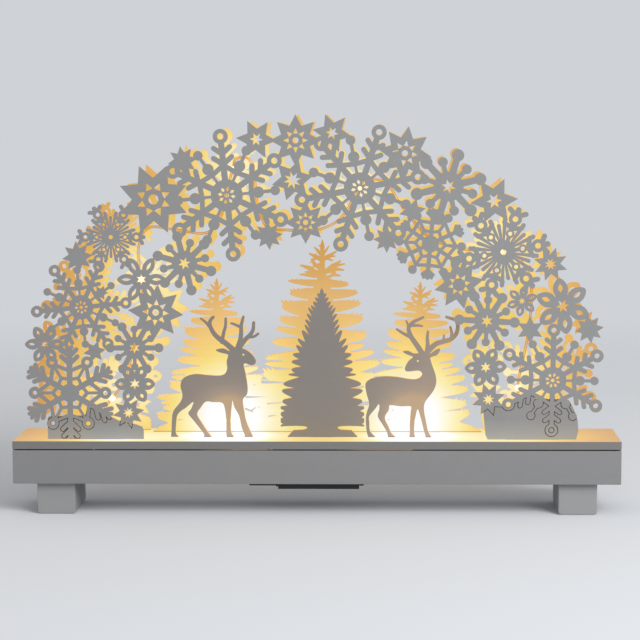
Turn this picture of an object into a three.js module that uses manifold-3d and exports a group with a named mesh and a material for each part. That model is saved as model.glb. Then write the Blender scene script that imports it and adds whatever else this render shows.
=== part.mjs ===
// A light-up snowflake arch: two cut-out arches, two deer and four trees on a hollow box base.
// Millimetres. X runs along the base, Y runs from the front to the back, Z is up and the floor is Z = 0.
import * as THREE from 'three';
import { mergeVertices } from 'three/addons/utils/BufferGeometryUtils.js';
import Module from 'manifold-3d';

const wasm = await Module();
wasm.setup();

// Base box
const BASE_WIDTH = 450;
const BASE_HEIGHT = 32;
const LID_THICKNESS = 6;
const PLY = 3;
const LID_SHADOW_GAP = 0.9;
const FOOT_HEIGHT = 23.7;
const FOOT_WIDTH = 28.4;
const FOOT_SETBACK = 5;
const FOOT_INSET = 17;
const FOOT_CORNER_RADIUS = 2.5;

// Panels that stand in slots of the lid. A setback runs from the base's front to the front of a panel in the
// front half, and from the base's back to the front of a panel in the back half.
const FRONT_ARCH_SETBACK = 10;
const FIGURE_SETBACK = 20;
const TREE_PANEL_SETBACK = 17;
const BACK_ARCH_SETBACK = 8;
const TAB_DEPTH = 5.5;
const TREE_TAB_WIDTH = 24;
const MOUND_TAB_WIDTH = 39;
const SLOT_CLEARANCE = 0.2;
const MOUND_MARGIN = 25;
const DEER_HEIGHT = 91;
const CENTRE_TREE_HEIGHT = 112;
const MIDDLE_TREE_HEIGHT = 146.6;
const SIDE_TREE_HEIGHT = 117;
const TREE_OVERLAP = 18.1;
const SCENE_CENTRE_X = 2.5;
const TREE_CENTRE_OFFSET = 2.2;
const LEFT_DEER_GAP = 16.4;
const RIGHT_DEER_GAP = 1.2;
const EYE_RADIUS = 1;

// Lamps and their leads
const LEAD_RADIUS = 0.6;
const LEAD_SIDES = 6;
const LAMP_SIDES = 8;
const LEAD_GAP = 0.3;
const LEAD_LEVEL = 45;
const LEAD_BEND = 4.5;
const LEAD_HOLE_RADIUS = 1.2;
const LEAD_HOLE_SETBACK = 1.2;
const LEAD_GROOVE_CLEARANCE = 0.5;
const LAMP_RADIUS = 2.4;
const LAMP_LENGTH = 4.5;

// Battery case in the floor of the base
const CELL_RADIUS = 7.1;
const CELL_LENGTH = 50.5;
const CELL_NUB_RADIUS = 2.75;
const CELL_NUB_LENGTH = 1.3;
const CELL_PITCH = 15;
const CELL_COUNT = 3;
const CELL_SIDES = 12;
const CELL_CLEARANCE = 0.4;
const CASE_WALL = 1.5;
const CASE_MARGIN = 2.7;
const SPRING_ROOM = 2.8;
const CONTACT_THICKNESS = 0.4;
const CONTACT_HEIGHT = 9;
const CONTACT_WIDTH = 11;
const SWITCH_BAY_LENGTH = 12;
const FLANGE_END = 7;
const FLANGE_SIDE = 3.5;
const COVER_THICKNESS = 1.5;
const COVER_GAP = 0.3;
const RAIL_WIDTH = 2.2;
const RAIL_LIP = 1.1;
const RAIL_LIP_THICKNESS = 1;
const GRIP_BARS = 3;
const GRIP_PITCH = 3.5;
const GRIP_HEIGHT = 0.5;
const GRIP_WIDTH = 1;
const SWITCH_LENGTH = 12;
const SWITCH_WIDTH = 7;
const SWITCH_HEIGHT = 5;
const SWITCH_WALL = 1;
const SLIDER_WIDTH = 3;
const SLIDER_LENGTH = 4.6;
const SLIDER_TRAVEL = 4;
const SLIDER_PROUD = 1.6;
const SLIDER_GAP = 0.3;
const SLIDER_GROOVE_PITCH = 1.4;
const SLIDER_GROOVE_WIDTH = 0.6;
const SLIDER_GROOVE_DEPTH = 0.5;

// Screws
const FOOT_SCREW_RADIUS = 1.6;
const FOOT_SCREW_HEAD_RADIUS = 3.4;
const FOOT_SCREW_HEAD_HEIGHT = 1.8;
const FOOT_SCREW_LENGTH = 14;
const FOOT_SCREW_POINT = 2;
const FOOT_SCREW_SPACING = 30;
const CASE_SCREW_RADIUS = 1.1;
const CASE_SCREW_HEAD_RADIUS = 2.2;
const CASE_SCREW_LENGTH = 4.2;
const SCREW_CLEARANCE = 0.3;
const SCREW_SIDES = 8;

// The base is as deep as its battery case needs.
const bayHalfWidth = ((CELL_COUNT - 1) * CELL_PITCH) / 2 + CELL_RADIUS + CELL_CLEARANCE;
const caseHalfWidth = bayHalfWidth + CASE_WALL;
const BASE_DEPTH = 2 * (caseHalfWidth + COVER_GAP + CASE_MARGIN + PLY);
const FOOT_DEPTH = BASE_DEPTH - 2 * FOOT_SETBACK;
const FRONT_ARCH_Y = -BASE_DEPTH / 2 + FRONT_ARCH_SETBACK;
const FIGURE_Y = -BASE_DEPTH / 2 + FIGURE_SETBACK;
const TREE_PANEL_Y = BASE_DEPTH / 2 - TREE_PANEL_SETBACK;
const BACK_ARCH_Y = BASE_DEPTH / 2 - BACK_ARCH_SETBACK;
const LID_TOP = FOOT_HEIGHT + BASE_HEIGHT;
const LID_BOTTOM = LID_TOP - LID_THICKNESS;
const BASE_FLOOR = FOOT_HEIGHT + PLY;
const INNER_HALF_WIDTH = BASE_WIDTH / 2 - PLY;
const INNER_HALF_DEPTH = BASE_DEPTH / 2 - PLY;
const FULL_TURN = Math.PI * 2;
const JOIN_OVERLAP = 0.5;

// The arch is drawn for a base of this half width, with heights above the lid.
const ARCH_DRAWN_REACH = 200;
const ARCH_SCALE = (BASE_WIDTH / 2 - MOUND_MARGIN) / ARCH_DRAWN_REACH;

const paint = { color: 0x97989a, roughness: 0.72, metalness: 0 };
const litPaint = { color: 0xf3cf86, roughness: 0.72, metalness: 0 };
const darkPlastic = { color: 0x2b2c2e, roughness: 0.5, metalness: 0 };
const steel = { color: 0xb9babc, roughness: 0.35, metalness: 1 };
const cellSleeve = { color: 0x3f6b58, roughness: 0.4, metalness: 0 };
const leadSleeve = { color: 0xd9c9a6, roughness: 0.5, metalness: 0 };
const lampResin = { color: 0xffe2a0, roughness: 0.25, metalness: 0 };

const object = new THREE.Group();

function addMesh(name, geometry, finish) {
  const mesh = new THREE.Mesh(geometry, new THREE.MeshStandardMaterial(finish));
  mesh.name = name;
  object.add(mesh);
  return mesh;
}

// Closed solids for cuts and joins

function solidOf(geometry) {
  const bare = geometry.clone();
  bare.deleteAttribute('normal');
  bare.deleteAttribute('uv');
  const merged = mergeVertices(bare, 1e-4);
  const mesh = new wasm.Mesh({
    numProp: 3,
    vertProperties: new Float32Array(merged.attributes.position.array),
    triVerts: new Uint32Array(merged.index.array),
  });
  return new wasm.Manifold(mesh);
}

function geometryOf(solid) {
  const mesh = solid.getMesh();
  const geometry = new THREE.BufferGeometry();
  geometry.setAttribute('position', new THREE.BufferAttribute(new Float32Array(mesh.vertProperties), 3));
  geometry.setIndex(new THREE.BufferAttribute(new Uint32Array(mesh.triVerts), 1));
  return geometry;
}

function joined(solids) {
  return wasm.Manifold.union(solids);
}

function block(x0, x1, y0, y1, z0, z1) {
  const geometry = new THREE.BoxGeometry(x1 - x0, y1 - y0, z1 - z0);
  geometry.translate((x0 + x1) / 2, (y0 + y1) / 2, (z0 + z1) / 2);
  return solidOf(geometry);
}

function post(x, y, z0, z1, radius, sides = 8) {
  const geometry = new THREE.CylinderGeometry(radius, radius, z1 - z0, sides);
  geometry.rotateX(Math.PI / 2);
  geometry.translate(x, y, (z0 + z1) / 2);
  return solidOf(geometry);
}

function shapeOf(points) {
  return new THREE.Shape(points.map(([x, y]) => new THREE.Vector2(x, y)));
}

function plate(points, holes = []) {
  const outline = shapeOf(points);
  outline.holes = holes.map(shapeOf);
  return solidOf(new THREE.ExtrudeGeometry(outline, { depth: PLY, bevelEnabled: false }));
}

// Flat outlines, each a list of [x, height] points

function disc(x, y, radius, sides, turn = 0) {
  return Array.from({ length: sides }, (_, i) => {
    const angle = turn + (FULL_TURN * i) / sides;
    return [x + radius * Math.cos(angle), y + radius * Math.sin(angle)];
  });
}

function strip(from, to, startWidth, endWidth = startWidth) {
  const dx = to[0] - from[0];
  const dy = to[1] - from[1];
  const length = Math.hypot(dx, dy);
  const side = [-dy / length / 2, dx / length / 2];
  return [
    [from[0] - side[0] * startWidth, from[1] - side[1] * startWidth],
    [to[0] - side[0] * endWidth, to[1] - side[1] * endWidth],
    [to[0] + side[0] * endWidth, to[1] + side[1] * endWidth],
    [from[0] + side[0] * startWidth, from[1] + side[1] * startWidth],
  ];
}

function mirrored(points) {
  return points.map(([x, y]) => [x, -y]);
}

function polar(radius, degrees) {
  const angle = THREE.MathUtils.degToRad(degrees);
  return [radius * Math.cos(angle), radius * Math.sin(angle)];
}

function turned(points, degrees) {
  const angle = THREE.MathUtils.degToRad(degrees);
  const c = Math.cos(angle);
  const s = Math.sin(angle);
  return points.map(([x, y]) => [x * c - y * s, x * s + y * c]);
}

// Snowflakes. Each kind is given for a flake of radius 1 by half of one arm's share of the outline,
// from the middle of the arm to the middle of the gap beside it, and by the windows that are cut out.

const windowAt = (radius, sides, distance = 0, degrees = 0) => {
  const [x, y] = polar(distance, degrees);
  return disc(x, y, radius, sides, THREE.MathUtils.degToRad(degrees));
};

const starHalf = (arms, innerRadius) => [[1, 0], polar(innerRadius, 180 / arms)];

function wedgeWindow(tips, tipRadius, ringRadius) {
  const halfAngle = 360 / tips / 2.6;
  return [polar(ringRadius, -halfAngle), [tipRadius, 0], polar(ringRadius, halfAngle)];
}

const kinds = {
  wheelStar: { arms: 8, half: starHalf(8, 0.56), armHoles: [wedgeWindow(8, 0.49, 0.27)] },
  discStar: { arms: 8, half: starHalf(8, 0.56), armHoles: [wedgeWindow(8, 0.45, 0.31)] },
  openStar: { arms: 8, half: starHalf(8, 0.56), middleHoles: [windowAt(0.34, 8)] },
  sixStar: { arms: 6, half: starHalf(6, 0.52), middleHoles: [windowAt(0.3, 6)] },
  solidStar: { arms: 8, half: starHalf(8, 0.58) },
  smallStar: { arms: 6, half: starHalf(6, 0.52) },
  ringFlake: {
    arms: 6,
    half: [[1.1, 0.06], [0.95, 0.1], [0.81, 0.045], [0.79, 0.18], [0.6, 0.045], [0.3, 0.08], polar(0.54, 20.5),
      polar(0.89, 30)],
    middleHoles: [windowAt(0.1, 6)],
  },
  ballFlake: {
    arms: 6,
    half: [[1.18, 0.07], [1.03, 0.19], [0.83, 0.07], polar(0.36, 17), polar(0.73, 18.5), polar(0.91, 30)],
    middleHoles: [windowAt(0.16, 6)],
  },
  petalFlake: {
    arms: 6,
    half: [[1, 0], [0.72, 0.23], [0.43, 0.22]],
    armHoles: [windowAt(0.15, 4, 0.64)],
  },
  smallPetalFlake: { arms: 6, half: [[1, 0], [0.7, 0.24], polar(0.42, 30)], middleHoles: [windowAt(0.2, 6)] },
  sunFlake: {
    arms: 6,
    half: [[1, 0], [0.93, 0.19], [0.62, 0.06], [0.58, 0.17], [0.33, 0.08], polar(0.68, 18), polar(0.28, 30)],
  },
  fernFlake: {
    arms: 6,
    half: [[0.98, 0.11], [0.83, 0.06], [0.8, 0.22], [0.6, 0.06], polar(0.88, 26)],
    armHoles: [[polar(0.3, 30), polar(0.46, 12), polar(0.68, 30), polar(0.46, 48)]],
  },
};

function fullOutline({ arms, half }) {
  const step = 360 / arms;
  const points = Array.from({ length: arms }, (_, i) => {
    return [...turned(half, step * i), ...turned(mirrored(half).reverse(), step * (i + 1))];
  }).flat();
  return points.filter(([x, y], i) => {
    const [lastX, lastY] = points.at(i - 1);
    return Math.hypot(x - lastX, y - lastY) > 1e-6;
  });
}

function placed(points, x, height, radius, turn) {
  return turned(points, turn).map(([px, py]) => [
    (x + px * radius) * ARCH_SCALE,
    (height + py * radius) * ARCH_SCALE,
  ]);
}

function flakeSolid([kind, x, height, radius, turn]) {
  const { arms, middleHoles = [], armHoles = [] } = kinds[kind];
  const holes = [...middleHoles];
  for (let i = 0; i < arms; i += 1) holes.push(...armHoles.map((hole) => turned(hole, (360 * i) / arms)));
  const place = (points) => placed(points, x, height, radius, turn);
  return plate(place(fullOutline(kinds[kind])), holes.map(place));
}

// Kind, x, height above the lid, radius and turn in degrees of every flake of an arch, from left to right
const flakes = [
  ['smallPetalFlake', -201.1, 71.1, 15, 0],
  ['fernFlake', -182.8, 34.7, 35, 30],
  ['solidStar', -175.4, 136.1, 12.6, 7],
  ['ringFlake', -173.3, 98.7, 33.1, 5.5],
  ['smallStar', -163.9, 65.8, 8.5, 10],
  ['smallStar', -158.8, 109.5, 6, 0],
  ['sunFlake', -150.4, 150.7, 25.7, 0],
  ['openStar', -139.3, 19.8, 12.4, 10],
  ['smallPetalFlake', -134.3, 41.4, 15.2, 0],
  ['ballFlake', -134.1, 68.4, 18.1, 0],
  ['petalFlake', -128.3, 119.3, 18.1, 0],
  ['wheelStar', -118.5, 178.3, 26.5, 23],
  ['discStar', -118, 94.8, 20.7, -5],
  ['solidStar', -96.6, 206.4, 11, 10],
  ['ballFlake', -96.2, 131.1, 20.4, -16],
  ['ringFlake', -64.4, 181.1, 42.9, 35.7],
  ['sixStar', -42.3, 222, 15, -4],
  ['solidStar', -34, 153, 11, 5],
  ['sixStar', -16, 192, 15.4, 12],
  ['wheelStar', -13.6, 221.1, 19, 0],
  ['wheelStar', -6.6, 161.1, 15.8, 0],
  ['sixStar', 13.1, 226.3, 14.6, -10],
  ['ringFlake', 33.3, 185.9, 42.8, 10.8],
  ['solidStar', 52.9, 146.9, 10, 0],
  ['wheelStar', 66.3, 211.3, 19.7, -8.5],
  ['smallStar', 73, 168, 10.5, 12],
  ['fernFlake', 84.9, 145, 26.5, 25],
  ['ballFlake', 98.1, 187, 23.7, 13],
  ['discStar', 106, 115, 18.4, 12],
  ['smallPetalFlake', 125.7, 53.5, 17.4, 3],
  ['ballFlake', 126.5, 88.1, 21.8, -3],
  ['openStar', 127.8, 29.5, 13.2, 18],
  ['sixStar', 131.4, 176, 18, 5],
  ['sunFlake', 138.4, 138.9, 34.7, 10.5],
  ['smallPetalFlake', 152.1, 102.9, 12, 20],
  ['smallStar', 158.2, 82, 11.2, 30],
  ['openStar', 172.8, 129.9, 13, -18],
  ['ringFlake', 175, 44.1, 36.8, 29],
  ['petalFlake', 182, 99.1, 22, -22],
  ['solidStar', 201.6, 81.9, 11, 8],
];

// Snow mounds at the foot of the arch, up to where the flakes cover them
const leftMound = [[-200, 0], [-127, 0], [-128, 8], [-132, 15], [-140, 24], [-160, 18], [-191, 18], [-200, 12]];
const rightMound = [[127.5, 0], [192.5, 0], [194.3, 8], [192.5, 15], [187, 30], [152, 34], [127, 22], [125, 10]];
const moundTabCentres = [-163.5, 160];

function tab(centre, width) {
  const half = width / 2;
  return plate([[centre - half, -TAB_DEPTH], [centre + half, -TAB_DEPTH], [centre + half, JOIN_OVERLAP],
    [centre - half, JOIN_OVERLAP]]);
}

function archTabs() {
  return moundTabCentres.map((centre) => [centre * ARCH_SCALE, MOUND_TAB_WIDTH * ARCH_SCALE]);
}

function archSolid() {
  const mounds = [leftMound, rightMound].map((points) => plate(placed(points, 0, 0, 1, 0)));
  const tabs = archTabs().map(([centre, width]) => tab(centre, width));
  return joined([...flakes.map(flakeSolid), ...mounds, ...tabs]);
}

// Lit trees: pairs of [height, reach] of the finger tips, as shares of the tree's height

const leftFingers = [[0.93, 0.07], [0.86, 0.119], [0.78, 0.19], [0.715, 0.179], [0.652, 0.217], [0.579, 0.232],
  [0.467, 0.274], [0.37, 0.316], [0.306, 0.318], [0.228, 0.397], [0.15, 0.375]];
const rightFingers = [[0.93, 0.073], [0.864, 0.116], [0.76, 0.13], [0.714, 0.177], [0.6, 0.2], [0.494, 0.22],
  [0.408, 0.256], [0.355, 0.286], [0.284, 0.311], [0.2, 0.303], [0.132, 0.321]];
const TOP_NOTCH = 0.42;
const FOOT_NOTCH = 0.74;
const NOTCH_DROP = 0.4;
const TREE_FOOT = 0.07;
const RIGHT_SKIRT = 0.33;
const LEFT_SKIRT = 0.4;

function treeSide(fingers, direction) {
  const points = [];
  fingers.forEach(([height, reach], i) => {
    const next = fingers[i + 1] ?? [TREE_FOOT, reach];
    points.push([direction * reach, height]);
    const notch = FOOT_NOTCH + (TOP_NOTCH - FOOT_NOTCH) * height;
    points.push([direction * Math.min(reach, next[1]) * notch, height + (next[0] - height) * NOTCH_DROP]);
  });
  points.push([direction * fingers.at(-1)[1], TREE_FOOT]);
  return points;
}

function treeOutline(centre, treeHeight) {
  const right = [...treeSide(rightFingers, 1), [RIGHT_SKIRT, 0]];
  const left = [...treeSide(leftFingers, -1), [-LEFT_SKIRT, 0]];
  const outline = [[0, 1], ...right, ...left.reverse()];
  return outline.map(([x, y]) => [centre + x * treeHeight, y * treeHeight]);
}

// The side trees stand so far out that their lowest fingers overlap those of the middle one a little.
const widestReach = (fingers) => Math.max(...fingers.map(([, reach]) => reach));
const sideTreeDistance = widestReach(leftFingers) * MIDDLE_TREE_HEIGHT
  + widestReach(rightFingers) * SIDE_TREE_HEIGHT - TREE_OVERLAP;
const sideTrees = [SCENE_CENTRE_X - sideTreeDistance, SCENE_CENTRE_X + sideTreeDistance];
const middleTree = SCENE_CENTRE_X + TREE_CENTRE_OFFSET;
const treePanelTabs = [...sideTrees, middleTree].map((centre) => [centre, TREE_TAB_WIDTH]);

// The ground runs out past the outer trees as two low hills.
const HILL_REACH = 48;
const HILL_HEIGHT = 8;
const HILL_TOP_REACH = 34;
const HILL_SHOULDER = 8;
const BANK_SHARE = 0.302;
const BANK_INSET = 20;

// Between the trees the snow is banked up behind their lowest fingers.
function groundOutline() {
  const bankHeight = BANK_SHARE * MIDDLE_TREE_HEIGHT;
  const left = sideTrees[0];
  const right = sideTrees[1];
  const hill = [[HILL_REACH, 0], [HILL_TOP_REACH + HILL_SHOULDER, HILL_HEIGHT / 2], [HILL_TOP_REACH, HILL_HEIGHT],
    [-BANK_INSET, bankHeight]];
  return [...hill.map(([x, y]) => [right + x, y]), ...hill.reverse().map(([x, y]) => [left - x, y])];
}

function treePanelSolid() {
  return joined([
    plate(treeOutline(sideTrees[0], SIDE_TREE_HEIGHT)),
    plate(treeOutline(middleTree, MIDDLE_TREE_HEIGHT)),
    plate(treeOutline(sideTrees[1], SIDE_TREE_HEIGHT)),
    plate(groundOutline()),
    ...treePanelTabs.map(([centre, width]) => tab(centre, width)),
  ]);
}

// Plain tree in front: pairs of [height, reach] of its twigs, for a tree 112 high
const CENTRE_TREE_DRAWN = 112;
const twigs = [[108, 2], [98, 2.8], [91, 5], [84, 7.5], [76, 10], [68, 16], [58, 19], [50, 22], [45, 26], [36, 29],
  [31, 28.5], [20, 31], [14, 31], [7, 30.5]];
const TWIG_NOTCH = 0.8;
const TRUNK_HALF = 11;
const TREE_FOOT_HALF = 27;
const TREE_FOOT_HEIGHT = 5;
const TRUNK_HEIGHT = 7.5;
const centreTreeTab = [middleTree, 17];
const centreTreeScale = CENTRE_TREE_HEIGHT / CENTRE_TREE_DRAWN;
const centreTreeReach = Math.max(...twigs.map(([, reach]) => reach)) * centreTreeScale;

function centreTreeOutline() {
  const side = [[1.5, CENTRE_TREE_DRAWN]];
  twigs.forEach(([height, reach], i) => {
    const next = twigs[i + 1] ?? [TRUNK_HEIGHT, reach];
    side.push([reach, height]);
    side.push([reach * TWIG_NOTCH, (height + next[0]) / 2]);
  });
  side.push([TRUNK_HALF, TRUNK_HEIGHT], [TREE_FOOT_HALF - 3, TREE_FOOT_HEIGHT], [TREE_FOOT_HALF, 0]);
  const left = side.map(([x, y]) => [-x, y]).reverse();
  return [...side, ...left].map(([x, y]) => [middleTree + x * centreTreeScale, y * centreTreeScale]);
}

function centreTreeSolid() {
  return joined([plate(centreTreeOutline()), tab(...centreTreeTab)]);
}

// Deer, drawn 91 high from the hooves to the highest antler tip, x from the middle of the body

const DEER_DRAWN = 91;
const deerScale = DEER_HEIGHT / DEER_DRAWN;

const leftDeerBody = [
  [-23, 43.4], [-24.4, 38.2], [-23, 32], [-24.4, 26.7], [-30, 19.5], [-31.2, 12], [-31.5, 5], [-32, 0], [-26.3, 0],
  [-28.3, 3], [-27.9, 11.5], [-27, 16.4], [-24.4, 19.5], [-20.6, 22], [-14.8, 26.6], [-16.7, 21], [-18.8, 17.7],
  [-14.8, 12.4], [-7.1, 2.2], [-7.1, 0], [-1.7, 0], [-4.5, 4], [-9.1, 11.2], [-12.2, 17.2], [-9.5, 22], [-5.5, 26.7],
  [-0.2, 26.3], [6.9, 25.8], [8.9, 20.4], [9.8, 11.8], [9.7, 3.3], [10, 0], [15.1, 0], [13.1, 4], [13, 14.6],
  [13.9, 24.2], [14.6, 27.5], [15.8, 22.7], [19.4, 16], [21.3, 7], [23.4, 1.7], [23.4, 0], [29.4, 0], [27.6, 4.4],
  [24.6, 11.8], [23.2, 19.4], [22.2, 28], [25.4, 32.3], [25.8, 38.5], [24.2, 48], [22.5, 54.8], [26.2, 55.1],
  [29.6, 53.2], [32, 56], [31, 58.9], [27.7, 62.2], [24.8, 64.4], [21, 65.5], [18.4, 67.3], [15, 67], [12.8, 64.6],
  [8, 66.7], [2.3, 65.6], [5.6, 63.7], [10.4, 62.6], [11.6, 61.3], [10.4, 56.9], [10.8, 51.8], [9, 47.7], [4.7, 46.3],
  [-3.9, 46.7], [-12.5, 47.5], [-18.8, 46.2],
];
const leftDeerAntlers = [
  [[18, 65], [22, 71], [5, 4]], [[21.5, 70], [28, 77], [4, 3.6]], [[27.5, 76], [31.2, 83.5], [4, 3]],
  [[31, 82.5], [29.8, 86.8], [3.2, 2.2]], [[24, 72], [33.8, 77], [3, 2.4]], [[19, 67], [19.6, 81.5], [3, 3]],
  [[19.4, 80.5], [22.2, 91], [3, 2]], [[19.4, 81], [12, 84], [2.2, 1.8]], [[14.5, 65.5], [6.5, 72], [4, 4]],
  [[7, 71.5], [-1, 77], [4, 3.6]], [[-0.5, 76], [-4, 83], [3.8, 3.2]], [[-4, 82], [-2.5, 88], [3.2, 3]],
  [[-2.8, 87], [0.5, 90.8], [3, 2]], [[-3.5, 81.5], [-11, 89], [2.8, 2]], [[7, 71.5], [10.2, 88], [3, 2.2]],
];
const leftDeerEye = [22.9, 62];
const leftDeerTabs = [[-4.4, 4.4], [12.5, 4.2]];
const LEFT_LAMP_LEG = 11.4;

const rightDeerBody = [
  [-34.6, 40], [-30, 44], [-21.5, 45.7], [-11.7, 45.4], [-3.7, 44], [2, 43.5], [6, 44.8], [7.7, 47.4], [6.5, 49.4],
  [4.3, 50.1], [-0.3, 49.6], [-3.7, 49.5], [-5.3, 51.1], [-4.3, 54.2], [-2, 57.7], [0.9, 60.2], [-3.7, 62.2],
  [-6.8, 64.3], [-2.6, 64.8], [1.7, 62.8], [8.2, 63.7], [12.9, 64.8], [13.7, 62.8], [17.4, 65.4], [20.9, 66.5],
  [19.1, 62], [14, 60], [14, 57.4], [15.7, 52.3], [17.7, 46.2], [18, 40.5], [16.2, 35.3], [12.9, 30.7], [9.4, 25.5],
  [9.1, 19.2], [10.6, 11.2], [12, 4.4], [14.3, 0], [10.3, 0], [8.9, 5], [7.1, 12.4], [4.5, 20.9], [3.1, 17.5],
  [1.9, 10.6], [1.6, 4.4], [2.2, 0], [-1.8, 0], [-1.5, 4.4], [-1.5, 11.2], [-0.9, 19.2], [-0.9, 23.2], [-8.4, 23.2],
  [-16.4, 24.1], [-17.2, 20.4], [-20.3, 14.7], [-17.5, 7.8], [-15.2, 2.7], [-12.6, 0], [-17.8, 0], [-18.9, 4.4],
  [-22.6, 10.6], [-25.5, 15.8], [-24.3, 20.9], [-24.6, 24.9], [-27.2, 21.5], [-31.8, 15.8], [-31.8, 11.2],
  [-31.2, 4.4], [-27.5, 0], [-32.6, 0], [-33.8, 4.4], [-34.4, 13.5], [-33.5, 19.2], [-31.8, 24.9], [-33.5, 31.8],
];
const rightDeerAntlers = [
  [[5, 63], [-0.3, 70], [4.4, 4]], [[0.2, 69], [-3.7, 76], [4, 3.6]], [[-3.4, 75], [-3.5, 82], [3.6, 3.2]],
  [[-3.7, 81], [7, 90.5], [3, 2]], [[-2.8, 83], [5, 83.2], [2.6, 1.8]], [[-1, 71.5], [-13, 81], [3, 1.8]],
  [[-3.6, 82], [-5.6, 88], [2.4, 1.4]], [[9.8, 63], [10.2, 79.5], [4, 2]], [[9.5, 66], [14.4, 70.5], [4.4, 4]],
  [[13.5, 70], [27, 76], [4, 3.8]], [[26.2, 75.4], [31.6, 82], [3.8, 2.6]], [[31.2, 81], [32.8, 87], [2.6, 1.8]],
  [[25.8, 76], [27.3, 84.5], [2.4, 1.6]], [[19, 73], [19.5, 79], [2.2, 1.4]],
];
const rightDeerEye = [4.4, 57.2];
const rightDeerTabs = [[-15.2, 4.2], [12.3, 3.6]];
const RIGHT_LAMP_LEG = 0.2;

// The deer stand beside the tree, clear of its widest twigs.
const LEFT_DEER_FRONT = 34.3;
const RIGHT_DEER_BACK = 34.6;
const leftDeerX = middleTree - centreTreeReach - LEFT_DEER_GAP - LEFT_DEER_FRONT * deerScale;
const rightDeerX = middleTree + centreTreeReach + RIGHT_DEER_GAP + RIGHT_DEER_BACK * deerScale;

function deerSolid(centre, body, antlers, eye, tabs) {
  const moved = ([x, y]) => [centre + x * deerScale, y * deerScale];
  const horns = antlers.map(([from, to, [start, end]]) => {
    return plate(strip(moved(from), moved(to), start * deerScale, end * deerScale));
  });
  const feet = tabs.map(([x, width]) => tab(centre + x * deerScale, width * deerScale));
  const hole = plate(disc(...moved(eye), EYE_RADIUS * deerScale, 6));
  return joined([plate(body.map(moved)), ...horns, ...feet]).subtract(hole);
}

function deerTabs(centre, tabs) {
  return tabs.map(([x, width]) => [centre + x * deerScale, width * deerScale]);
}

// Each panel is drawn flat and stands up in its slots, with its front face at the given Y.
function standPanel(name, solid, frontY, finish) {
  const mesh = addMesh(name, geometryOf(solid), finish);
  mesh.rotation.x = Math.PI / 2;
  mesh.position.set(0, frontY + PLY, LID_TOP);
  return mesh;
}

standPanel('front_arch', archSolid(), FRONT_ARCH_Y, paint);
standPanel('back_arch', archSolid(), BACK_ARCH_Y, litPaint);
standPanel('tree_panel', treePanelSolid(), TREE_PANEL_Y, litPaint);
standPanel('centre_tree', centreTreeSolid(), FIGURE_Y, paint);
standPanel(
  'deer_left',
  deerSolid(leftDeerX, leftDeerBody, leftDeerAntlers, leftDeerEye, leftDeerTabs),
  FIGURE_Y,
  paint,
);
standPanel(
  'deer_right',
  deerSolid(rightDeerX, rightDeerBody, rightDeerAntlers, rightDeerEye, rightDeerTabs),
  FIGURE_Y,
  paint,
);

const slots = [
  ...archTabs().map((t) => [...t, FRONT_ARCH_Y]),
  ...archTabs().map((t) => [...t, BACK_ARCH_Y]),
  ...treePanelTabs.map((t) => [...t, TREE_PANEL_Y]),
  [...centreTreeTab, FIGURE_Y],
  ...deerTabs(leftDeerX, leftDeerTabs).map((t) => [...t, FIGURE_Y]),
  ...deerTabs(rightDeerX, rightDeerTabs).map((t) => [...t, FIGURE_Y]),
];

// Leads and lamps. A route is a list of points; the lead passes through every one of them.

class Route extends THREE.CatmullRomCurve3 {
  getUtoTmapping(u) {
    return u;
  }
}

function leadGeometry(route) {
  const section = shapeOf(disc(0, 0, LEAD_RADIUS, LEAD_SIDES));
  const steps = route.points.length - 1;
  return new THREE.ExtrudeGeometry(section, { steps, extrudePath: route, bevelEnabled: false });
}

// Battery case sizes along X, Y and Z

const bayLength = CELL_LENGTH + SPRING_ROOM + 2 * CONTACT_THICKNESS + COVER_GAP;
const bayHalfLength = bayLength / 2;
const switchBayStart = -bayHalfLength - CASE_WALL - SWITCH_BAY_LENGTH;
const caseStart = switchBayStart - CASE_WALL;
const caseEnd = bayHalfLength + CASE_WALL;
const flangeTop = FOOT_HEIGHT;
const flangeBottom = flangeTop - CASE_WALL;
const cellAxisZ = flangeBottom + CELL_CLEARANCE + CELL_RADIUS;
const bayCeiling = cellAxisZ + CELL_RADIUS + CELL_CLEARANCE;
const caseTop = bayCeiling + CASE_WALL;
const coverTop = flangeBottom - COVER_GAP;
const coverBottom = coverTop - COVER_THICKNESS;
const coverHalfWidth = bayHalfWidth - COVER_GAP;
const coverStart = -bayHalfLength - CASE_WALL / 2;
const coverEnd = caseEnd + FLANGE_END / 2;
const railInner = coverHalfWidth + COVER_GAP;
const lipTop = coverBottom - COVER_GAP;
const lipBottom = lipTop - RAIL_LIP_THICKNESS;
const switchX = switchBayStart + SWITCH_BAY_LENGTH / 2;
const leadHoles = [-8, 0, 8];
const caseScrews = [caseStart - FLANGE_END / 2, caseEnd + FLANGE_END / 2];

function lampSolid(direction) {
  const profile = [[0, 0], [LAMP_RADIUS, 0], [LAMP_RADIUS, LAMP_LENGTH * 0.5], [LAMP_RADIUS * 0.65, LAMP_LENGTH * 0.87],
    [0, LAMP_LENGTH]];
  const dome = solidOf(new THREE.LatheGeometry(profile.map(([x, y]) => new THREE.Vector2(x, y)), LAMP_SIDES));
  const grooveHalf = LEAD_RADIUS + LEAD_GROOVE_CLEARANCE;
  const grooveDepth = LEAD_GAP + LEAD_RADIUS * 2 + LEAD_GROOVE_CLEARANCE;
  const groove = new THREE.BoxGeometry(LAMP_RADIUS * 3, grooveDepth * 2, grooveHalf * 2);
  groove.rotateY(Math.atan2(direction.z, direction.x));
  return dome.subtract(solidOf(groove));
}

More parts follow.
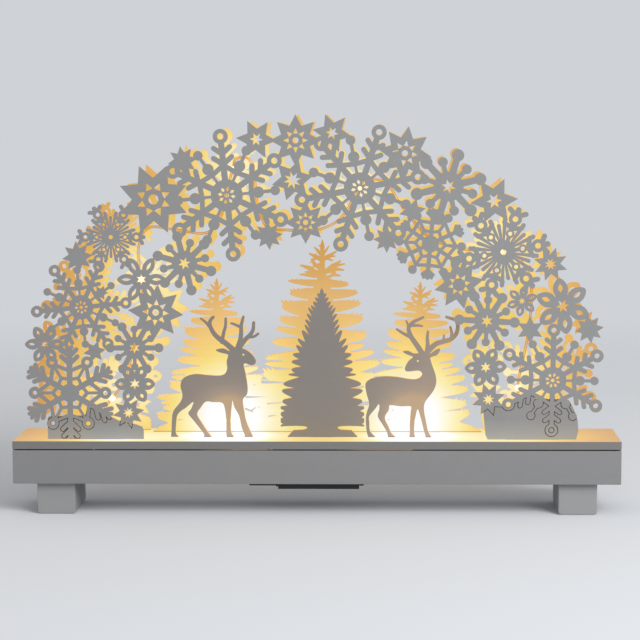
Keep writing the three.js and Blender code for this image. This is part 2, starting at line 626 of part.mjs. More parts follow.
// Lamp numbers say which point of the route each lamp sits over.
function addLead(name, points, lampPoints, backY, firstLamp) {
  const route = new Route(points.map(([x, y, z]) => new THREE.Vector3(x, y, z)));
  addMesh(name, leadGeometry(route), leadSleeve);
  lampPoints.forEach((index, i) => {
    const tangent = route.getTangent(index / (points.length - 1));
    const flat = new THREE.Vector3(tangent.x, 0, -tangent.z);
    const lamp = addMesh(`lamp_${firstLamp + i}`, geometryOf(lampSolid(flat)), lampResin);
    lamp.position.set(points[index][0], backY, points[index][2]);
  });
}

function leadStart(hole, lidX, lidY) {
  const top = FOOT_HEIGHT + SWITCH_HEIGHT + LEAD_GAP;
  const side = Math.sign(lidX - switchX);
  return [
    [switchX, hole, top],
    [switchX, hole, caseTop],
    [switchX + side * LEAD_BEND, hole, LEAD_LEVEL - LEAD_RADIUS],
    [(switchX + lidX) / 2, (hole + lidY) / 2, LEAD_LEVEL],
    [lidX - side * LEAD_BEND, lidY, LEAD_LEVEL],
    [lidX, lidY, LID_BOTTOM],
    [lidX, lidY, LID_TOP],
  ];
}

const archBack = FRONT_ARCH_Y + PLY;
const archLeadY = archBack + LEAD_GAP + LEAD_RADIUS;
const archHole = [-165, archLeadY + LEAD_HOLE_SETBACK];

// Points of the arch lead behind the front arch, as [x, height above the lid]; a lamp sits on every point marked.
const archRoute = [
  [-165, 5], [-162, 14], [-156.4, 24.5], [-152, 30, 'lamp'], [-147.6, 35.5], [-140, 48], [-136, 66], [-126, 88],
  [-128, 112], [-129, 119, 'lamp'], [-130, 126], [-130, 145], [-122, 157.5], [-101, 155.5], [-80, 153.5],
  [-69, 166], [-62.5, 192], [-60, 200, 'lamp'], [-57.5, 208], [-46, 205], [-42, 175], [-35, 157.5], [-22, 155.5],
  [0, 155], [18, 163], [29, 179], [33, 185, 'lamp'], [37, 191], [52, 190], [66, 170], [84, 150], [108, 141],
  [128, 140.4], [136, 140, 'lamp'], [144, 139.6], [158, 120], [158, 85], [150.5, 46], [150, 38, 'lamp'], [149.8, 30],
  [149.8, 22],
];

function archLeadPoints() {
  const up = leadStart(leadHoles[0], archHole[0] * ARCH_SCALE, archHole[1]);
  const along = archRoute.map(([x, height]) => [x * ARCH_SCALE, archLeadY, LID_TOP + height * ARCH_SCALE]);
  return [...up, ...along];
}

const leadStartCount = leadStart(0, 1, 1).length;
const archLamps = archRoute.flatMap(([, , mark], i) => (mark ? [leadStartCount + i] : []));
addLead('arch_lead', archLeadPoints(), archLamps, archBack, 1);

const figureBack = FIGURE_Y + PLY;
const figureLeadY = figureBack + LEAD_GAP + LEAD_RADIUS;
const DEER_LAMP_HEIGHT = 12;
const LEAD_PAST_LAMP = 5;

// The lamp behind each deer sits on the back of the nearer front leg.
function deerLeadPoints(hole, x) {
  const start = leadStart(hole, x, figureLeadY + LEAD_HOLE_SETBACK);
  const heights = [DEER_LAMP_HEIGHT - LEAD_PAST_LAMP, DEER_LAMP_HEIGHT, DEER_LAMP_HEIGHT + LEAD_PAST_LAMP];
  return [...start, ...heights.map((height) => [x, figureLeadY, LID_TOP + height])];
}

const leftLegX = leftDeerX + LEFT_LAMP_LEG * deerScale;
const rightLegX = rightDeerX + RIGHT_LAMP_LEG * deerScale;
addLead('deer_lead_left', deerLeadPoints(leadHoles[1], leftLegX), [leadStartCount + 1], figureBack,
  archLamps.length + 1);
addLead('deer_lead_right', deerLeadPoints(leadHoles[2], rightLegX), [leadStartCount + 1], figureBack,
  archLamps.length + 2);

const lidHoles = [
  [archHole[0] * ARCH_SCALE, archHole[1]],
  [leftLegX, figureLeadY + LEAD_HOLE_SETBACK],
  [rightLegX, figureLeadY + LEAD_HOLE_SETBACK],
];

// Base boards. The lid lies on the back and end boards, and a thin shadow gap shows below it at the front.

function lidSolid() {
  const board = block(-BASE_WIDTH / 2, BASE_WIDTH / 2, -BASE_DEPTH / 2, BASE_DEPTH / 2, LID_BOTTOM, LID_TOP);
  const cuts = slots.map(([centre, width, frontY]) => {
    const half = width / 2 + SLOT_CLEARANCE;
    const back = frontY + PLY + SLOT_CLEARANCE;
    return block(centre - half, centre + half, frontY - SLOT_CLEARANCE, back, LID_BOTTOM - 1, LID_TOP + 1);
  });
  const holes = lidHoles.map(([x, y]) => post(x, y, LID_BOTTOM - 1, LID_TOP + 1, LEAD_HOLE_RADIUS));
  return board.subtract(joined([...cuts, ...holes]));
}

function footScrewPlaces() {
  const footX = BASE_WIDTH / 2 - FOOT_INSET - FOOT_WIDTH / 2;
  return [-footX, footX].flatMap((x) => [[x, -FOOT_SCREW_SPACING / 2], [x, FOOT_SCREW_SPACING / 2]]);
}

function bottomSolid() {
  const board = block(
    -INNER_HALF_WIDTH, INNER_HALF_WIDTH, -INNER_HALF_DEPTH, INNER_HALF_DEPTH, FOOT_HEIGHT, BASE_FLOOR,
  );
  const opening = block(
    caseStart - COVER_GAP, caseEnd + COVER_GAP, -caseHalfWidth - COVER_GAP, caseHalfWidth + COVER_GAP,
    FOOT_HEIGHT - 1, BASE_FLOOR + 1,
  );
  const footHoles = footScrewPlaces().map(([x, y]) => {
    return post(x, y, FOOT_HEIGHT - 1, BASE_FLOOR + 1, FOOT_SCREW_RADIUS + SCREW_CLEARANCE);
  });
  const caseHoles = caseScrews.map((x) => {
    return post(x, 0, FOOT_HEIGHT - 1, BASE_FLOOR + 1, CASE_SCREW_RADIUS + SCREW_CLEARANCE);
  });
  return board.subtract(joined([opening, ...footHoles, ...caseHoles]));
}

function addBoards() {
  addMesh('top_board', geometryOf(lidSolid()), paint);
  addMesh('bottom_board', geometryOf(bottomSolid()), paint);
  const boardHeight = LID_BOTTOM - FOOT_HEIGHT;
  const frontHeight = boardHeight - LID_SHADOW_GAP;
  const front = addMesh('front_board', new THREE.BoxGeometry(BASE_WIDTH, PLY, frontHeight), paint);
  front.position.set(0, (PLY - BASE_DEPTH) / 2, FOOT_HEIGHT + frontHeight / 2);
  const back = addMesh('back_board', new THREE.BoxGeometry(BASE_WIDTH, PLY, boardHeight), paint);
  back.position.set(0, (BASE_DEPTH - PLY) / 2, FOOT_HEIGHT + boardHeight / 2);
  for (const [name, side] of [['end_board_left', -1], ['end_board_right', 1]]) {
    const board = addMesh(name, new THREE.BoxGeometry(PLY, INNER_HALF_DEPTH * 2, boardHeight), paint);
    board.position.set(side * (BASE_WIDTH - PLY) / 2, 0, FOOT_HEIGHT + boardHeight / 2);
  }
}

// Feet with rounded lower corners, cut through for their two screws

function footSolid(centre) {
  const half = FOOT_WIDTH / 2;
  const r = FOOT_CORNER_RADIUS;
  const outline = new THREE.Shape();
  outline.moveTo(-half, FOOT_HEIGHT);
  outline.lineTo(-half, r);
  outline.absarc(-half + r, r, r, Math.PI, Math.PI * 1.5, false);
  outline.absarc(half - r, r, r, Math.PI * 1.5, FULL_TURN, false);
  outline.lineTo(half, FOOT_HEIGHT);
  const geometry = new THREE.ExtrudeGeometry(outline, { depth: FOOT_DEPTH, bevelEnabled: false, curveSegments: 3 });
  geometry.rotateX(Math.PI / 2);
  geometry.translate(centre, FOOT_DEPTH / 2, 0);
  const depth = FOOT_SCREW_LENGTH - PLY + 1;
  const holes = [-1, 1].map((side) => {
    const y = side * FOOT_SCREW_SPACING / 2;
    return post(centre, y, FOOT_HEIGHT - depth, FOOT_HEIGHT + 1, FOOT_SCREW_RADIUS + SCREW_CLEARANCE);
  });
  return solidOf(geometry).subtract(joined(holes));
}

function screwGeometry(profile) {
  const points = profile.map(([x, y]) => new THREE.Vector2(x, y));
  const geometry = new THREE.LatheGeometry(points, SCREW_SIDES);
  geometry.rotateX(Math.PI / 2);
  return geometry;
}

function addFeet() {
  const footX = BASE_WIDTH / 2 - FOOT_INSET - FOOT_WIDTH / 2;
  addMesh('foot_left', geometryOf(footSolid(-footX)), paint);
  addMesh('foot_right', geometryOf(footSolid(footX)), paint);
  const shank = FOOT_SCREW_POINT - FOOT_SCREW_LENGTH;
  const profile = [[0, -FOOT_SCREW_LENGTH], [FOOT_SCREW_RADIUS, shank], [FOOT_SCREW_RADIUS, 0],
    [FOOT_SCREW_HEAD_RADIUS, 0], [FOOT_SCREW_HEAD_RADIUS * 0.8, FOOT_SCREW_HEAD_HEIGHT], [0, FOOT_SCREW_HEAD_HEIGHT]];
  footScrewPlaces().forEach(([x, y], i) => {
    const screw = addMesh(`foot_screw_${i + 1}`, screwGeometry(profile), steel);
    screw.position.set(x, y, BASE_FLOOR);
  });
}

// Battery case: a tray that hangs in the floor of the base, open below and closed by a sliding cover

function caseSolid() {
  const body = block(caseStart, caseEnd, -caseHalfWidth, caseHalfWidth, flangeBottom, caseTop);
  const flangeHalf = caseHalfWidth + FLANGE_SIDE;
  const flange = block(
    caseStart - FLANGE_END, caseEnd + FLANGE_END, -flangeHalf, flangeHalf, flangeBottom, flangeTop,
  );
  const rails = [-1, 1].flatMap((side) => {
    const outer = side * (railInner + RAIL_WIDTH);
    const inner = side * railInner;
    const lip = side * (coverHalfWidth - RAIL_LIP);
    const span = (a, b) => [Math.min(a, b), Math.max(a, b)];
    return [
      block(coverStart, coverEnd, ...span(inner, outer), lipBottom, flangeBottom + JOIN_OVERLAP),
      block(coverStart, coverEnd, ...span(lip, outer), lipBottom, lipTop),
    ];
  });
  const stop = block(
    coverStart - COVER_GAP - CASE_WALL, coverStart - COVER_GAP, -coverHalfWidth, coverHalfWidth,
    coverBottom, flangeBottom + JOIN_OVERLAP,
  );
  const bay = block(-bayHalfLength, bayHalfLength, -bayHalfWidth, bayHalfWidth, flangeBottom - 1, bayCeiling);
  const switchBay = block(
    switchBayStart, switchBayStart + SWITCH_BAY_LENGTH, -bayHalfWidth, bayHalfWidth, flangeTop, bayCeiling,
  );
  const slotHalf = (SLIDER_LENGTH + SLIDER_TRAVEL) / 2 + SLIDER_GAP;
  const slot = block(
    switchX - SLIDER_WIDTH / 2 - SLIDER_GAP, switchX + SLIDER_WIDTH / 2 + SLIDER_GAP, -slotHalf, slotHalf,
    flangeBottom - 1, flangeTop + 1,
  );
  const leadOutlets = leadHoles.map((y) => post(switchX, y, bayCeiling - 1, caseTop + 1, LEAD_HOLE_RADIUS));
  const screwHoles = caseScrews.map((x) => {
    const profile = [[0, -1], [CASE_SCREW_HEAD_RADIUS + SCREW_CLEARANCE, -1],
      [CASE_SCREW_HEAD_RADIUS + SCREW_CLEARANCE, 0], [CASE_SCREW_RADIUS + SCREW_CLEARANCE, CASE_WALL],
      [CASE_SCREW_RADIUS + SCREW_CLEARANCE, CASE_WALL + 1], [0, CASE_WALL + 1]];
    const geometry = screwGeometry(profile);
    geometry.translate(x, 0, flangeBottom);
    return solidOf(geometry);
  });
  return joined([body, flange, ...rails, stop]).subtract(
    joined([bay, switchBay, slot, ...leadOutlets, ...screwHoles]),
  );
}

function coverSolid() {
  const panel = block(coverStart, coverEnd, -coverHalfWidth, coverHalfWidth, coverBottom, coverTop);
  const bars = Array.from({ length: GRIP_BARS }, (_, i) => {
    const x = bayHalfLength - i * GRIP_PITCH;
    const top = coverBottom + JOIN_OVERLAP;
    return block(x - GRIP_WIDTH, x, -coverHalfWidth / 2, coverHalfWidth / 2, coverBottom - GRIP_HEIGHT, top);
  });
  return joined([panel, ...bars]);
}

function cellGeometry() {
  const body = CELL_LENGTH - CELL_NUB_LENGTH;
  const profile = [[0, 0], [CELL_RADIUS, 0], [CELL_RADIUS, body], [CELL_NUB_RADIUS, body],
    [CELL_NUB_RADIUS, CELL_LENGTH], [0, CELL_LENGTH]];
  const geometry = new THREE.LatheGeometry(profile.map(([x, y]) => new THREE.Vector2(x, y)), CELL_SIDES);
  geometry.translate(0, -CELL_LENGTH / 2, 0);
  geometry.rotateZ(-Math.PI / 2);
  return geometry;
}

// A contact is a bent strip on an end wall: flat behind a positive end, with a V-shaped spring behind a negative one.
function contactGeometry(side, rows) {
  const t = CONTACT_THICKNESS;
  const half = CONTACT_WIDTH / 2;
  const rise = SPRING_ROOM - COVER_GAP;
  const outer = [];
  const inner = [];
  rows.forEach(({ y, spring }) => {
    outer.push([0, y - half]);
    inner.push([t, y - half]);
    if (spring) {
      outer.push([0, y - half / 2], [rise, y], [0, y + half / 2]);
      inner.push([t, y - half / 2 - t], [rise + t, y], [t, y + half / 2 + t]);
    }
    outer.push([0, y + half]);
    inner.push([t, y + half]);
  });
  const outline = [...outer, ...inner.reverse()].map(([x, y]) => [side * (bayHalfLength - x), y]);
  const geometry = new THREE.ExtrudeGeometry(shapeOf(outline), { depth: CONTACT_HEIGHT, bevelEnabled: false });
  geometry.translate(0, 0, cellAxisZ - CONTACT_HEIGHT / 2);
  return geometry;
}

function addCells() {
  const rows = Array.from({ length: CELL_COUNT }, (_, i) => (i - (CELL_COUNT - 1) / 2) * CELL_PITCH);
  const play = (bayLength - 2 * CONTACT_THICKNESS - CELL_LENGTH) / 2 - COVER_GAP;
  rows.forEach((y, i) => {
    const cell = addMesh(`battery_${i + 1}`, cellGeometry(), cellSleeve);
    const facesRight = i % 2 === 0;
    cell.rotation.z = facesRight ? 0 : Math.PI;
    cell.position.set(facesRight ? play : -play, y, cellAxisZ);
  });
  const flat = (y) => ({ y, spring: false });
  const sprung = (y) => ({ y, spring: true });
  addMesh('contact_positive', contactGeometry(1, [flat(rows[0])]), steel);
  addMesh('contact_bridge_right', contactGeometry(1, [sprung(rows[1]), flat(rows[2])]), steel);
  addMesh('contact_bridge_left', contactGeometry(-1, [sprung(rows[0]), flat(rows[1])]), steel);
  addMesh('contact_negative', contactGeometry(-1, [sprung(rows[2])]), steel);
}

function switchBodySolid() {
  const half = SWITCH_LENGTH / 2;
  const body = block(
    switchX - SWITCH_WIDTH / 2, switchX + SWITCH_WIDTH / 2, -half, half, flangeTop, flangeTop + SWITCH_HEIGHT,
  );
  const run = (SLIDER_LENGTH + SLIDER_TRAVEL) / 2 + SLIDER_GAP;
  const channel = block(
    switchX - SLIDER_WIDTH / 2 - SLIDER_GAP, switchX + SLIDER_WIDTH / 2 + SLIDER_GAP, -run, run,
    flangeTop - 1, flangeTop + SWITCH_HEIGHT - SWITCH_WALL,
  );
  return body.subtract(channel);
}

function sliderSolid() {
  const y = -SLIDER_TRAVEL / 2;
  const top = flangeTop + SWITCH_HEIGHT - SWITCH_WALL - SLIDER_GAP;
  const stem = block(
    switchX - SLIDER_WIDTH / 2, switchX + SLIDER_WIDTH / 2, y - SLIDER_LENGTH / 2, y + SLIDER_LENGTH / 2,
    flangeBottom - SLIDER_PROUD, top,
  );
  const grooves = [-1, 0, 1].map((i) => {
    const middle = y + i * SLIDER_GROOVE_PITCH;
    const tip = flangeBottom - SLIDER_PROUD;
    return block(
      switchX - SLIDER_WIDTH, switchX + SLIDER_WIDTH, middle - SLIDER_GROOVE_WIDTH / 2,
      middle + SLIDER_GROOVE_WIDTH / 2, tip - 1, tip + SLIDER_GROOVE_DEPTH,
    );
  });
  return stem.subtract(joined(grooves));
}

function addCase() {
  addMesh('battery_case', geometryOf(caseSolid()), darkPlastic);
  addMesh('battery_cover', geometryOf(coverSolid()), darkPlastic);
  addMesh('switch_body', geometryOf(switchBodySolid()), steel);
  addMesh('switch_slider', geometryOf(sliderSolid()), darkPlastic);
  const profile = [[0, 0], [CASE_SCREW_HEAD_RADIUS, 0], [CASE_SCREW_RADIUS, CASE_WALL],
    [CASE_SCREW_RADIUS, CASE_SCREW_LENGTH - 1], [0, CASE_SCREW_LENGTH]];
  caseScrews.forEach((x, i) => {
    const screw = addMesh(`case_screw_${i + 1}`, screwGeometry(profile), steel);
    screw.position.set(x, 0, flangeBottom);
  });
}

addBoards();
addFeet();
addCase();
addCells();

export default object;
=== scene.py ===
# %% [markdown]
# # A light-up snowflake arch
#
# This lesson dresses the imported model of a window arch. It has two cut-out snowflake arches, two deer and
# four fir trees on a hollow box base, all laser cut from 3 mm plywood and painted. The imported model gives
# every piece its place, so the script reads sizes from it and never moves it. All lengths are in metres
# in Blender. Drawings of flat panels are in millimetres and are scaled once.

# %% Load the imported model
import math

import bmesh
import bpy
from mathutils import Matrix, Vector
from mathutils.geometry import delaunay_2d_cdt


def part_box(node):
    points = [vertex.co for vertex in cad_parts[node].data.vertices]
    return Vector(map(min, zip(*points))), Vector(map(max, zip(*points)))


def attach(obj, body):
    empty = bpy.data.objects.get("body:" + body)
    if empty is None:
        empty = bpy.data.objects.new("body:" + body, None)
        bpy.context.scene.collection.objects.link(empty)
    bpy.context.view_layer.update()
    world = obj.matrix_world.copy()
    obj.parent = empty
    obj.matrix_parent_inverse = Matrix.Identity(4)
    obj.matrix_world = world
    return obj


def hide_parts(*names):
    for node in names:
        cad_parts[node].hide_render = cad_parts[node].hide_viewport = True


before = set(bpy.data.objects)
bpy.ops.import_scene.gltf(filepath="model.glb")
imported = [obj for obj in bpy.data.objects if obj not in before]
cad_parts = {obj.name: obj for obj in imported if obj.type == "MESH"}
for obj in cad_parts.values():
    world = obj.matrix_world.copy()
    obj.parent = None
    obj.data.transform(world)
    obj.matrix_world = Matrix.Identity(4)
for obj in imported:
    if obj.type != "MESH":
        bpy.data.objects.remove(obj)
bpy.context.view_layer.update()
MM = 0.001
print("nodes in the packed model:", len(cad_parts))

# %% [markdown]
# ## The camera
#
# The photograph was taken from the front, a little above the arch and a little right of its middle. The
# camera's place was solved from the corners of the base, so a straight-on lens with no shift gives the
# same picture. A rotation about Z turns it, one about X tips it and one about its own axis levels it.

# %% Camera at the photograph's angle
IMAGE_WIDTH = 640
FOCAL_PIXELS = 1914.6
SENSOR_MM = 36
CAMERA_PLACE = Vector((55.1, -1423.3, 295.6)) * MM
CAMERA_TURN = math.radians(2.1)
CAMERA_TILT = math.radians(90 - 6.13)
CAMERA_ROLL = math.radians(-0.29)

lens = bpy.data.cameras.new("camera")
lens.sensor_width = SENSOR_MM
lens.lens = FOCAL_PIXELS * SENSOR_MM / IMAGE_WIDTH
camera = bpy.data.objects.new("camera", lens)
bpy.context.scene.collection.objects.link(camera)
camera.matrix_world = (
    Matrix.Translation(CAMERA_PLACE)
    @ Matrix.Rotation(CAMERA_TURN, 4, "Z")
    @ Matrix.Rotation(CAMERA_TILT, 4, "X")
    @ Matrix.Rotation(CAMERA_ROLL, 4, "Z")
)
bpy.context.scene.camera = camera
print("lens:", round(lens.lens, 1), "mm")

# %% [markdown]
# ## Helpers for colours and nodes
#
# Colours are written as sRGB hex values, as a paint chart gives them, and one function turns them into
# the linear values that Blender's sockets hold. One small function adds a node with its settings and its
# links.

# %% Colour and node helpers
def linear(hex_value):
    """The linear colour of an sRGB hex value."""
    channels = [((hex_value >> shift) & 255) / 255 for shift in (16, 8, 0)]
    return tuple(c / 12.92 if c <= 0.04045 else ((c + 0.055) / 1.055) ** 2.4 for c in channels) + (1.0,)


def node(tree, kind, settings=None, inputs=None):
    """Adds a node, sets its properties, and sets or links its inputs."""
    made = tree.nodes.new(kind)
    for name, value in (settings or {}).items():
        setattr(made, name, value)
    for key, value in (inputs or {}).items():
        socket = made.inputs[key]
        if isinstance(value, bpy.types.NodeSocket):
            tree.links.new(value, socket)
        else:
            socket.default_value = value
    return made


def new_material(name):
    """An empty material and its node tree."""
    material = bpy.data.materials.new(name)
    material.use_nodes = True
    material.node_tree.nodes.clear()
    return material, material.node_tree


bpy.context.scene.view_settings.view_transform = "Standard"
print("mid grey in linear light:", [round(c, 3) for c in linear(0x808080)])

# %% [markdown]
# ## Studio: sky, floor and one soft lamp
#
# A wall behind the object would hide it from the back, so the floor is one large disc that fades into the
# background colour with distance. The sky is that colour where the camera looks at it, and a plain soft
# white where it lights the object. One large soft lamp from the right front gives the faces their slight
# difference.

# %% Sky
BACKDROP = linear(0xCFD2D6)
SKY_LIGHT = 0.68


def seen_directly(tree):
    """1 where a ray comes from the camera, a reflection or a clear piece, else 0."""
    path = node(tree, "ShaderNodeLightPath")
    first = node(tree, "ShaderNodeMath", {"operation": "MAXIMUM"},
                 {0: path.outputs["Is Camera Ray"], 1: path.outputs["Is Glossy Ray"]})
    return node(tree, "ShaderNodeMath", {"operation": "MAXIMUM"},
                {0: first.outputs[0], 1: path.outputs["Is Transmission Ray"]}).outputs[0]


world = bpy.data.worlds.new("sky")
bpy.context.scene.world = world
world.use_nodes = True
sky = world.node_tree
sky.nodes.clear()
soft = node(sky, "ShaderNodeBackground", inputs={"Color": (1, 1, 1, 1), "Strength": SKY_LIGHT})
shown = node(sky, "ShaderNodeBackground", inputs={"Color": BACKDROP, "Strength": 1.0})
sky_mix = node(sky, "ShaderNodeMixShader",
               inputs={0: seen_directly(sky), 1: soft.outputs[0], 2: shown.outputs[0]})
node(sky, "ShaderNodeOutputWorld", inputs={"Surface": sky_mix.outputs[0]})
print("sky light:", SKY_LIGHT)

# %% Floor that fades into the sky
FLOOR_RADIUS = 5.0
FLOOR_SIDES = 96
FADE_START = 0.45
FADE_END = 1.5


def linked(name, data):
    """An object of a mesh or a lamp, linked into the scene."""
    made = bpy.data.objects.new(name, data)
    bpy.context.scene.collection.objects.link(made)
    return made


floor_paint, floor_tree = new_material("studio floor")
place = node(floor_tree, "ShaderNodeTexCoord").outputs["Object"]
distance = node(floor_tree, "ShaderNodeVectorMath", {"operation": "LENGTH"}, {0: place}).outputs["Value"]
fade = node(floor_tree, "ShaderNodeMapRange", {"interpolation_type": "SMOOTHSTEP"},
            {"Value": distance, "From Min": FADE_START, "From Max": FADE_END}).outputs["Result"]
far_and_seen = node(floor_tree, "ShaderNodeMath", {"operation": "MULTIPLY"},
                    {0: fade, 1: seen_directly(floor_tree)}).outputs[0]
near_floor = node(floor_tree, "ShaderNodeBsdfDiffuse", inputs={"Color": BACKDROP, "Roughness": 0.5})
far_floor = node(floor_tree, "ShaderNodeEmission", inputs={"Color": BACKDROP, "Strength": 1.0})
floor_mix = node(floor_tree, "ShaderNodeMixShader",
                 inputs={0: far_and_seen, 1: near_floor.outputs[0], 2: far_floor.outputs[0]})
node(floor_tree, "ShaderNodeOutputMaterial", inputs={"Surface": floor_mix.outputs[0]})

floor_shape = bmesh.new()
bmesh.ops.create_circle(floor_shape, cap_ends=True, segments=FLOOR_SIDES, radius=FLOOR_RADIUS)
floor_mesh = bpy.data.meshes.new("studio_floor")
floor_shape.to_mesh(floor_mesh)
floor_shape.free()
floor_mesh.materials.append(floor_paint)
floor = linked("studio_floor", floor_mesh)
print("floor radius:", FLOOR_RADIUS, "m")

# %% Soft lamp
LAMP_PLACE = Vector((0.95, -1.1, 1.0))
LAMP_SIZE = 0.9
LAMP_POWER = 18

soft_lamp = bpy.data.lights.new("soft_lamp", "AREA")
soft_lamp.size = LAMP_SIZE
soft_lamp.energy = LAMP_POWER
lamp_stand = linked("soft_lamp", soft_lamp)
lamp_stand.location = LAMP_PLACE
lamp_stand.rotation_euler = (-LAMP_PLACE).to_track_quat("-Z", "Y").to_euler()
print("soft lamp:", LAMP_POWER, "W over", LAMP_SIZE, "m")

# %% [markdown]
# ## How brightly the small lamps light a surface
#
# Eight small warm lamps sit on the backs of the front panels. On the real arch their light falls off with
# distance and turns from cream to yellow to orange. A real light in each place would be grainy in a
# render and would be lost from an exported model, so the finish itself works out how near a point is to
# each lamp.

# %% Nearness to the lamps
LAMP_NAMES = [f"lamp_{number}" for number in range(1, 9)]


def middle_of(name):
    low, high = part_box(name)
    return (low + high) / 2


lamp_places = {name: middle_of(name) for name in LAMP_NAMES}


def lamp_light(tree, reach, power, names=LAMP_NAMES, longer=None):
    """Sum over the lamps of (reach / distance) to the given power.

    The reach is in millimetres, and longer holds a factor for each lamp that reaches further."""
    here = node(tree, "ShaderNodeTexCoord").outputs["Object"]
    total = 0.0
    for name in names:
        away = node(tree, "ShaderNodeVectorMath", {"operation": "DISTANCE"},
                    {0: here, 1: lamp_places[name]}).outputs["Value"]
        own_reach = reach * MM * (longer or {}).get(name, 1.0)
        ratio = node(tree, "ShaderNodeMath", {"operation": "DIVIDE"}, {0: own_reach, 1: away}).outputs[0]
        term = node(tree, "ShaderNodeMath", {"operation": "POWER"}, {0: ratio, 1: power}).outputs[0]
        total = node(tree, "ShaderNodeMath", {"operation": "ADD"}, {0: term, 1: total}).outputs[0]
    return total


print("lamps:", {name: tuple(round(v / MM) for v in spot) for name, spot in lamp_places.items()})

# %% [markdown]
# ## Paint on plywood
#
# The panels are birch plywood under a thin matt paint. Thin paint sinks into the wood, so the grain still
# shows as faint long streaks, and the sprayed coat is a little blotchy. One noise, stretched along the
# grain, makes the streaks, and a rounder one makes the blotches. The grain also lifts the surface
# slightly.

# %% Grain and blotches
# Sizes in millimetres, then how far each one shades the paint
GRAIN_LENGTH = 30
GRAIN_WIDTH = 0.9
BLOTCH_SIZE = 14
GRAIN_RELIEF = 0.04
GRAIN_SHADE = 0.035
BLOTCH_SHADE = 0.03


def paint_texture(tree, colour):
    """The paint's colour and its relief: grain along X, and blotches."""
    here = node(tree, "ShaderNodeTexCoord").outputs["Object"]
    stretch = (1 / (GRAIN_LENGTH * MM), 1 / (GRAIN_WIDTH * MM), 1 / (GRAIN_WIDTH * MM))
    along = node(tree, "ShaderNodeMapping", inputs={"Vector": here, "Scale": stretch}).outputs[0]
    grain = node(tree, "ShaderNodeTexNoise",
                 inputs={"Vector": along, "Scale": 1.0, "Detail": 3.0}).outputs["Fac"]
    blotch = node(tree, "ShaderNodeTexNoise",
                  inputs={"Vector": here, "Scale": 1 / (BLOTCH_SIZE * MM), "Detail": 2.0}).outputs["Fac"]
    grain_part = node(tree, "ShaderNodeMath", {"operation": "MULTIPLY_ADD"},
                      {0: grain, 1: 2 * GRAIN_SHADE, 2: 1 - GRAIN_SHADE}).outputs[0]
    blotch_part = node(tree, "ShaderNodeMath", {"operation": "MULTIPLY_ADD"},
                       {0: blotch, 1: 2 * BLOTCH_SHADE, 2: -BLOTCH_SHADE}).outputs[0]
    shade = node(tree, "ShaderNodeMath", {"operation": "ADD"}, {0: grain_part, 1: blotch_part}).outputs[0]
    tinted = node(tree, "ShaderNodeVectorMath", {"operation": "SCALE"}, {0: colour[:3], "Scale": shade})
    relief = node(tree, "ShaderNodeBump",
                  inputs={"Height": grain, "Distance": GRAIN_RELIEF * MM, "Strength": 0.6})
    return tinted.outputs[0], relief.outputs[0]


print("grain:", GRAIN_LENGTH, "by", GRAIN_WIDTH, "mm, blotches:", BLOTCH_SIZE, "mm")

# %% Matt grey paint
# The greys of the paint as the photograph shows them
PANEL_GREY = linear(0x8F8F8F)
BASE_GREY = linear(0x8B8B8C)
# The lid's edges are a darker grey than the boards.
LID_EDGE_GREY = linear(0x7F7D7B)
# The feet's grey is paler than the base's: painted light on feet that stand in the shade of the base.
FOOT_LIT_GREY = linear(0x9D9E9E)
# The deer and the plain tree get a darker grey than the arch: painted shade, as they stand back behind the
# front arch.
INNER_SHADED_GREY = linear(0x807E7D)
PAINT_ROUGHNESS = 0.68
LID_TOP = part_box("top_board")[1].z
BOUNCE = 0.25
BOUNCE_HEIGHT = 16


def scaled_near_lid(tree, colour, height, at_lid):
    """A colour times at_lid on the lid's top, going to times 1 at a height in millimetres above it."""
    here = node(tree, "ShaderNodeTexCoord").outputs["Object"]
    level = node(tree, "ShaderNodeSeparateXYZ", inputs={0: here}).outputs["Z"]
    scale = node(tree, "ShaderNodeMapRange",
                 inputs={"Value": level, "From Min": LID_TOP, "From Max": LID_TOP + height * MM,
                         "To Min": at_lid, "To Max": 1.0}).outputs["Result"]
    return node(tree, "ShaderNodeVectorMath", {"operation": "SCALE"}, {0: colour, "Scale": scale}).outputs[0]


def matt_paint(name, colour, bounce=0.0):
    """Matt grey paint: no gloss to speak of, so a rough surface with a weak reflection.

    The lit lid throws some of its light back on what stands on it, which makes the paint paler there by the
    bounce."""
    material, tree = new_material(name)
    tinted, relief = paint_texture(tree, colour)
    if bounce:
        tinted = scaled_near_lid(tree, tinted, BOUNCE_HEIGHT, 1 + bounce)
    shader = node(tree, "ShaderNodeBsdfPrincipled",
                  inputs={"Base Color": tinted, "Normal": relief, "Roughness": PAINT_ROUGHNESS,
                          "Specular IOR Level": 0.25})
    node(tree, "ShaderNodeOutputMaterial", inputs={"Surface": shader.outputs[0]})
    return material


panel_paint = matt_paint("matt grey paint on plywood", PANEL_GREY, BOUNCE)
base_paint = matt_paint("matt grey paint on the base", BASE_GREY)
lid_edge_paint = matt_paint("darker grey paint on the lid's edges", LID_EDGE_GREY)
foot_lit_paint = matt_paint("matt grey paint on the feet, paler with painted light", FOOT_LIT_GREY)
for paint in (panel_paint, base_paint, lid_edge_paint, foot_lit_paint):
    print("paint:", paint.name)

# %% [markdown]
# ## Paint in the light of the lamps
#
# Where the lamps shine on it the same paint looks cream near a lamp, then yellow, then orange, and grey
# where no light comes. A colour ramp over the nearness gives that order, as glow. The paint's own colour
# is darker there, so that the glow and the studio light together come out at the colour on the ramp.

